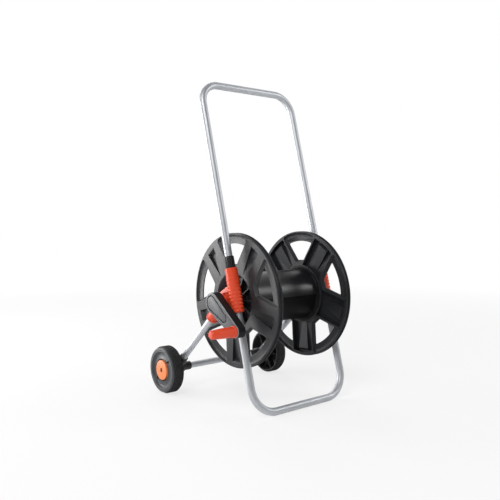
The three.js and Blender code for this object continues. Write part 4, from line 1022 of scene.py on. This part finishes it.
class REEL_OT_flanges(bpy.types.Operator):
    """Models the five-spoked flanges with their rims, webs, troughs and hub dishes"""
    bl_idname = "reel.flanges"
    bl_label = "Drum flanges"

    def execute(self, context):
        sizes = context.scene.reel_drum
        first = sizes.spoke_turn
        top = sizes.inner_face + sizes.thickness + OVERRUN
        flange = flange_blank(sizes)
        united(flange, around(DRUM, 10, first + pi / 10, lambda: dish_rib(sizes)))
        pockets = around(DRUM, 5, first, lambda: spoke_pocket(sizes))
        carved(pockets, around(DRUM, 5, first, lambda: trough(sizes, sizes.skin, top - sizes.skin)))
        gap = first - pi / 5
        carved(flange, pockets,
               around(DRUM, 5, first, lambda: trough(sizes, 0, top)),
               around(DRUM, 5, gap, lambda: flange_opening(sizes)),
               around(DRUM, 5, gap, lambda: recess(sizes, 1)),
               around(DRUM, 5, gap, lambda: recess(sizes, -1)))
        for side, piece in both_sides(flange, "drum_flange_{}_moulded"):
            outward = -1 if side == "left" else 1
            # faces not turned outwards take the less reflective finish, which keeps them dark as painted shade
            painted(piece, ("flange", "flange_back"), lambda face: face.normal.x * outward <= 0.15)
            finished(piece, None, "drum", "flange_plastic", f"drum_flange_{side}", angle=30)
        return {"FINISHED"}


def backwards(angle):
    """The way from the drum's axis to the rear, at an angle above level."""
    return Vector((0, cos(angle), sin(angle)))


class REEL_OT_barrel(bpy.types.Operator):
    """Models the two barrel half shells with their seam"""
    bl_idname = "reel.barrel"
    bl_label = "Barrel"

    def execute(self, context):
        sizes = context.scene.reel_drum
        end = sizes.inner_face - FIT
        wall, hole, half_seam = 0.0676, 0.0088, 0.00025
        outer, flare = sizes.barrel_radius, sizes.barrel_flare
        fillet = [(end - flare + a, outer + flare + b) for a, b in arc(0, 0, flare, 1.5 * pi, tau, 10)]
        other = [(-x, r) for x, r in reversed(fillet)]
        barrel = turned("barrel", [(-end, wall)] + other + fillet + [(end, wall)], DRUM, RIGHT, 120)
        rear = backwards(sizes.seam_rear) * outer
        front = Vector((0, -cos(sizes.seam_front), sin(sizes.seam_front))) * outer
        normal = RIGHT.cross(rear - front).normalized()
        carved(barrel, pipe("hole", [OUTLET, OUTLET + backwards(sizes.seam_rear) * 0.12], hole))
        for name, sign in (("upper", 1), ("lower", -1)):
            half = copy_of(barrel, f"barrel_shell_{name}_smooth", Matrix.Identity(4))
            with editing(half):
                bpy.ops.mesh.bisect(plane_co=DRUM + rear + normal * half_seam * sign, plane_no=normal * sign,
                                    use_fill=True, clear_inner=True)
            tidied(half)
            softened(half, 0.0005, 2, 60)
            # the lower shell and the flares by the flanges take the darker matt finish as painted shade
            painted(half, ("barrel", "barrel_lower"),
                    lambda face: name == "lower" or (face.center - DRUM).yz.length > outer + 0.0005)
            finished(half, None, "drum", "barrel_plastic", f"barrel_shell_{name}")
        bpy.data.objects.remove(barrel)
        return {"FINISHED"}


def hose_tail(end, start, way):
    """A quick-coupling tail: stem, groove and tapered nose, from a bend's centre."""
    radius, neck = 0.0085, 0.0071
    profile = [(0, 0), (0, radius), (end - 0.016, radius), (end - 0.0155, neck), (end - 0.0125, neck),
               (end - 0.012, radius), (end - 0.005, radius), (end - 0.0005, 0.0075), (end, neck), (end, 0)]
    return turned("tail", profile, start, way, 64)


class REEL_OT_water_joint(bpy.types.Operator):
    """Models the inlet elbow outside the bracket and the outlet elbow inside the drum"""
    bl_idname = "reel.water_joint"
    bl_label = "Water joint"

    def execute(self, context):
        self.inlet()
        self.outlet(backwards(OUTLET_TURN))
        return {"FINISHED"}

    def inlet(self):
        """The fixed elbow outside the right bracket, with its tail pointing down."""
        low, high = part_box("inlet_elbow")
        radius, arm, waterway, spindle_seat = 0.013, 0.0105, 0.005, 0.0095
        hub = turned("inlet_elbow_round", [(low[0], 0), (low[0], 0.0124), (low[0] + 0.0008, radius),
                                           (high[0] - 0.003, radius), (high[0] - 0.001, 0.012),
                                           (high[0], 0.0095), (high[0], 0)], DRUM, RIGHT, 64)
        down = turned("down", [(0, 0), (0, arm), (0.030, arm), (0.032, 0.0095), (0.032, 0)], INLET, -UP, 64)
        united(hub, down, hose_tail(DRUM.z - low[2], INLET, -UP))
        carved(hub, rod("bore", 0, 0.06, waterway, INLET, -UP, 32),
               rod("bore", low[0] - OVERRUN, 0.1883, spindle_seat, DRUM))
        finished(hub, "black", "frame", "black_plastic", "inlet_elbow")

    def outlet(self, way):
        """The elbow that turns with the drum, with its tail through the barrel."""
        low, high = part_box("outlet_elbow")
        radius, arm, waterway, spindle_seat = 0.014, 0.0095, 0.005, 0.0095
        hub = turned("outlet_elbow_round", [(low[0], 0), (low[0], 0.013), (low[0] + 0.001, radius),
                                            (high[0], radius), (high[0], 0)], DRUM, RIGHT, 64)
        united(hub, rod("out", 0, 0.0635, arm, OUTLET, way, 64), hose_tail(0.092, OUTLET, way))
        carved(hub, rod("bore", 0, 0.095, waterway, OUTLET, way, 32),
               rod("bore", 0.0837, 0.11, spindle_seat, DRUM))
        finished(hub, "black", "drum", "black_plastic", "outlet_elbow")


# ---------------------------------------------------------------- crank

class REEL_OT_crank(bpy.types.Operator):
    """Models the crank arm with its face, its panel and its turning grip"""
    bl_idname = "reel.crank"
    bl_label = "Crank"

    def execute(self, context):
        sizes = context.scene.reel_crank
        way = GRIP - DRUM
        lean = Vector((way.y, way.z)).angle_signed(Vector((0, 1)))
        inner, outer = -sizes.inner, -sizes.outer
        wall, panel_depth, panel_wide, panel_narrow = 0.003, 0.0022, 0.020, 0.012

        def loop(margin, x):
            """The crank's outline, drawn in by a margin, in the plane at x."""
            outline = tapered(sizes.hub_radius - margin, sizes.tip_radius - margin, way.length, 32)
            return in_plane(DRUM, turned_outline(outline, lean), x)

        def panel(margin, low, high):
            """A plate of the panel's outline, drawn in by a margin, from one x to another."""
            outline = tapered(panel_wide - margin, panel_narrow - margin, sizes.panel_length, 24)
            return plate("panel", turned_outline(outline, lean), low, high)

        arm = lofted("crank_arm_moulded", [loop(0, inner), loop(0, outer + wall),
                                           loop(0.0004, outer + 0.0015), loop(0.0012, outer + 0.0005),
                                           loop(0.0024, outer)])
        carved(arm, lofted("cavity", [loop(wall, inner + OVERRUN), loop(wall, outer + 0.004)]))
        united(arm, rod("boss", inner, outer + wall, 0.013, DRUM),
               rod("boss", inner - 0.004, outer + wall, 0.009, GRIP))
        carved(arm, panel(0, outer - OVERRUN, outer + panel_depth))

        def facing(face):
            """Picks the side, the face or the painted highlight on the lip for a face, by the way it looks."""
            outwards = -face.normal.x if face.center.x < outer + 0.0012 else 0
            return 1 if outwards > 0.95 else 2 if outwards > 0.3 else 0

        # faces on the bevel between the face and the side take a pale colour as a painted highlight
        painted(arm, ("crank_side", "crank_face", "crank_edge"), facing)
        inlay = panel(sizes.panel_groove, outer + panel_depth, outer - 0.0003)
        softened(inlay, 0.0006, 2, 40)
        inlay.name = "crank_inlay_panel"
        finished(arm, None, "drum", "crank_plastic", "crank_arm", angle=40)
        finished(inlay, "crank_face", "drum", "crank_plastic", "crank_inlay")
        self.grip(sizes)
        return {"FINISHED"}

    def grip(self, sizes):
        """The grip with its flange and groove, bored for the pin."""
        low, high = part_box("crank_grip")
        base, tip = high[0], low[0] + 0.005
        wide, narrow = sizes.grip_base, sizes.grip_tip
        pin_seat, pin_end = 0.0054, base - 0.0603
        profile = [(pin_end, 0), (pin_end, pin_seat), (base, pin_seat), (base, wide),
                   (base - 0.0008, wide + 0.0008), (base - 0.0040, wide + 0.0008),
                   (base - 0.0050, wide - 0.0002), (base - 0.0056, wide - 0.0018),
                   (base - 0.0070, wide - 0.0018), (base - 0.0078, wide - 0.0008),
                   (base - 0.020, wide - 0.0010), (base - 0.045, wide - 0.0018), (tip + 0.0042, narrow),
                   (tip + 0.0034, narrow - 0.0003), (tip + 0.0004, narrow - 0.0030),
                   (tip, narrow - 0.0036), (tip, 0)]
        grip = turned("crank_grip_round", profile, GRIP, RIGHT, 96)
        finished(grip, "orange", "grip", "orange_plastic", "crank_grip")


# ---------------------------------------------------------------- screws and plain nodes

class REEL_OT_screws(bpy.types.Operator):
    """Models the pan-head screws with their cross recesses"""
    bl_idname = "reel.screws"
    bl_label = "Screws"

    def execute(self, context):
        head_radius, shank = 0.0042, 0.0020
        long, narrow = 0.0022, 0.0005
        for kind in ("handle_screw", "foot_screw", "leg_screw", "carrier_screw"):
            low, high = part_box(f"{kind}_right")
            place = Vector((0, (low[1] + high[1]) / 2, (low[2] + high[2]) / 2))
            head, end = low[0], high[0]
            profile = [(head, 0), (head, 0.0024), (head + 0.0004, 0.0034), (head + 0.0010, 0.0040),
                       (head + 0.0018, head_radius), (head + 0.0026, head_radius), (head + 0.0026, shank),
                       (end - 0.002, shank), (end, 0.0008), (end, 0)]
            screw = turned("screw", profile, place, RIGHT, 40)
            for a, b in ((long, narrow), (narrow, long)):
                outline = [(-a, -b), (a, -b), (a, b), (-a, b)]
                carved(screw, plate("slot", outline, head - OVERRUN, head + 0.0013, place))
            for side, piece in both_sides(screw, f"{kind}_{{}}_crosshead"):
                finished(piece, "zinc", "frame", "zinc_steel", f"{kind}_{side}")
        return {"FINISHED"}


PLAIN_NODES = {
    "zinc": ("wheel_axle", "axle_washer_left", "axle_washer_right", "axle_nut_left", "axle_nut_right",
             "crank_shaft", "crank_screw", "grip_pin"),
    "bush": ("hub_bush_left", "hub_bush_right"),
    "black": ("inlet_spindle",),
    "rubber": ("inlet_seal", "swivel_seal"),
}


class REEL_OT_plain_nodes(bpy.types.Operator):
    """Finishes the small hidden pieces, which keep their CAD shapes"""
    bl_idname = "reel.plain_nodes"
    bl_label = "Hidden pieces"

    def execute(self, context):
        for finish, names in PLAIN_NODES.items():
            for name in names:
                piece = frame["nodes"][name]
                piece.data.materials.clear()
                piece.data.materials.append(FINISHES[finish])
        return {"FINISHED"}


# ---------------------------------------------------------------- stage

BEARING, PITCH, ROLL = radians(-39.0), radians(2.76), radians(-0.45)
FORWARD = Vector((-sin(BEARING) * cos(PITCH), cos(BEARING) * cos(PITCH), -sin(PITCH)))
EYE = Vector((-1.1190, -1.1645, 0.4977))
LENS = 44.28
MIDDLE = Vector((0, 0.15, 0.35))
LAMPS = {  # place, size across and power
    "key": ((-1.9, -0.9, 2.2), 1.4, 32),
    "left_box": ((-1.35, 2.25, 0.9), 1.2, 16),
    "low_left": ((-1.5, 1.9, 0.40), 1.4, 24),
    "front_box": ((1.5, -1.3, 1.4), 0.8, 10),
    "back": ((0.6, 2.2, 2.0), 1.4, 14),
}


def lamp(name, place, size, power):
    """A round soft lamp that points at the cart's middle."""
    light = bpy.data.lights.new(name, "AREA")
    light.shape = "DISK"
    light.size = size
    light.energy = power
    holder = bpy.data.objects.new(name, light)
    holder.location = place
    holder.rotation_euler = (MIDDLE - Vector(place)).to_track_quat("-Z", "Y").to_euler()
    bpy.context.collection.objects.link(holder)


class REEL_OT_stage(bpy.types.Operator):
    """Sets the floor, the lights, the white surroundings and the camera"""
    bl_idname = "reel.stage"
    bl_label = "Stage"

    def execute(self, context):
        scene = context.scene
        bpy.ops.object.select_all(action="DESELECT")
        bpy.ops.mesh.primitive_plane_add(size=14, location=(0, 0.2, -0.0005))
        floor = context.object
        floor.name = "floor"
        floor.data.materials.append(self.floor_material(scene.reel_colours.floor))
        self.surroundings(scene)
        for name, values in LAMPS.items():
            lamp(name, *values)
        self.camera(scene)
        return {"FINISHED"}

    def floor_material(self, base):
        """A pale floor that keeps shadows near the cart and is white to the camera further out."""
        made = bpy.data.materials.new("floor")
        made.use_nodes = True
        tree = made.node_tree
        shader = tree.nodes["Principled BSDF"]
        shader.inputs["Base Color"].default_value = base
        shader.inputs["Roughness"].default_value = 0.9
        shader.inputs["Specular IOR Level"].default_value = 0.1
        glow = node(tree, "ShaderNodeEmission", {"Color": (1, 1, 1, 1), "Strength": 1.0})
        seen = node(tree, "ShaderNodeLightPath").outputs["Is Camera Ray"]
        place = node(tree, "ShaderNodeTexCoord").outputs["Object"]
        far = node(tree, "ShaderNodeVectorMath", {0: place}, operation="LENGTH").outputs["Value"]
        share = maths(tree, "MULTIPLY", seen, remapped(tree, far, 0.8, 3.0, 0.72, 1.0))
        mix = node(tree, "ShaderNodeMixShader", {0: share, 1: shader.outputs["BSDF"],
                                                 2: glow.outputs["Emission"]})
        tree.links.new(mix.outputs["Shader"], tree.nodes["Material Output"].inputs["Surface"])
        return made

    def surroundings(self, scene):
        """White to the camera, softer on the cart and graded where gloss mirrors it."""
        world = bpy.data.worlds.new("studio")
        scene.world = world
        world.use_nodes = True
        tree = world.node_tree
        tree.nodes.clear()
        path = node(tree, "ShaderNodeLightPath").outputs
        # metal mirrors a studio that is white behind the cart and dim behind the camera
        toward = node(tree, "ShaderNodeTexCoord").outputs["Generated"]
        ahead = node(tree, "ShaderNodeVectorMath", {0: toward, 1: FORWARD}, operation="DOT_PRODUCT")
        mirrored = remapped(tree, ahead.outputs["Value"], -0.3, 0.8, 0.10, 1.0)
        unseen = remapped(tree, path["Is Glossy Ray"], 0.0, 1.0, 0.34, mirrored)
        strength = remapped(tree, path["Is Camera Ray"], 0.0, 1.0, unseen, 1.0)
        back = node(tree, "ShaderNodeBackground", {"Color": (1, 1, 1, 1), "Strength": strength})
        out = node(tree, "ShaderNodeOutputWorld")
        tree.links.new(back.outputs["Background"], out.inputs["Surface"])

    def camera(self, scene):
        """The camera at the eye's place, turned by its bearing, pitch and roll."""
        view = bpy.data.cameras.new("view")
        view.lens = LENS
        view.sensor_width = 36
        holder = bpy.data.objects.new("view", view)
        right = Vector((cos(BEARING), sin(BEARING), 0))
        tilted = right * cos(ROLL) + right.cross(FORWARD) * sin(ROLL)
        turned_view = Matrix((tilted, tilted.cross(FORWARD), -FORWARD)).transposed().to_4x4()
        holder.matrix_world = Matrix.Translation(EYE) @ turned_view
        scene.collection.objects.link(holder)
        scene.camera = holder
        scene.view_settings.view_transform = "Standard"


# ---------------------------------------------------------------- add-on

PROPERTY_GROUPS = {
    "reel_frame": ReelFrameSizes,
    "reel_drum": ReelDrumSizes,
    "reel_crank": ReelCrankSizes,
    "reel_wheel": ReelWheelSizes,
    "reel_colours": ReelColours,
}
OPERATORS = (REEL_OT_finishes, REEL_OT_tubes, REEL_OT_collars, REEL_OT_brackets, REEL_OT_carriers,
             REEL_OT_wheels, REEL_OT_flanges, REEL_OT_barrel, REEL_OT_water_joint, REEL_OT_crank,
             REEL_OT_screws, REEL_OT_plain_nodes, REEL_OT_stage)


class REEL_PT_panel(bpy.types.Panel):
    """Lists the cart's operators and sizes in the sidebar"""
    bl_label = "Hose reel cart"
    bl_idname = "REEL_PT_panel"
    bl_space_type = "VIEW_3D"
    bl_region_type = "UI"
    bl_category = "Hose reel"

    def draw(self, context):
        for operator in OPERATORS:
            self.layout.operator(operator.bl_idname)
        for name, group in PROPERTY_GROUPS.items():
            box = self.layout.box()
            for field in group.__annotations__:
                box.prop(getattr(context.scene, name), field)


def register():
    """Adds the classes and the scene's sizes and colours."""
    for group in PROPERTY_GROUPS.values():
        bpy.utils.register_class(group)
    for name, group in PROPERTY_GROUPS.items():
        setattr(bpy.types.Scene, name, bpy.props.PointerProperty(type=group))
    for operator in OPERATORS:
        bpy.utils.register_class(operator)
    bpy.utils.register_class(REEL_PT_panel)


def unregister():
    """Takes away what register added, in the other order."""
    bpy.utils.unregister_class(REEL_PT_panel)
    for operator in reversed(OPERATORS):
        bpy.utils.unregister_class(operator)
    for name in PROPERTY_GROUPS:
        delattr(bpy.types.Scene, name)
    for group in reversed(PROPERTY_GROUPS.values()):
        bpy.utils.unregister_class(group)


def main():
    """Builds the cart step by step."""
    register()
    for operator in OPERATORS:
        group, name = operator.bl_idname.split(".")
        getattr(getattr(bpy.ops, group), name)()


if __name__ == "__main__":
    main()
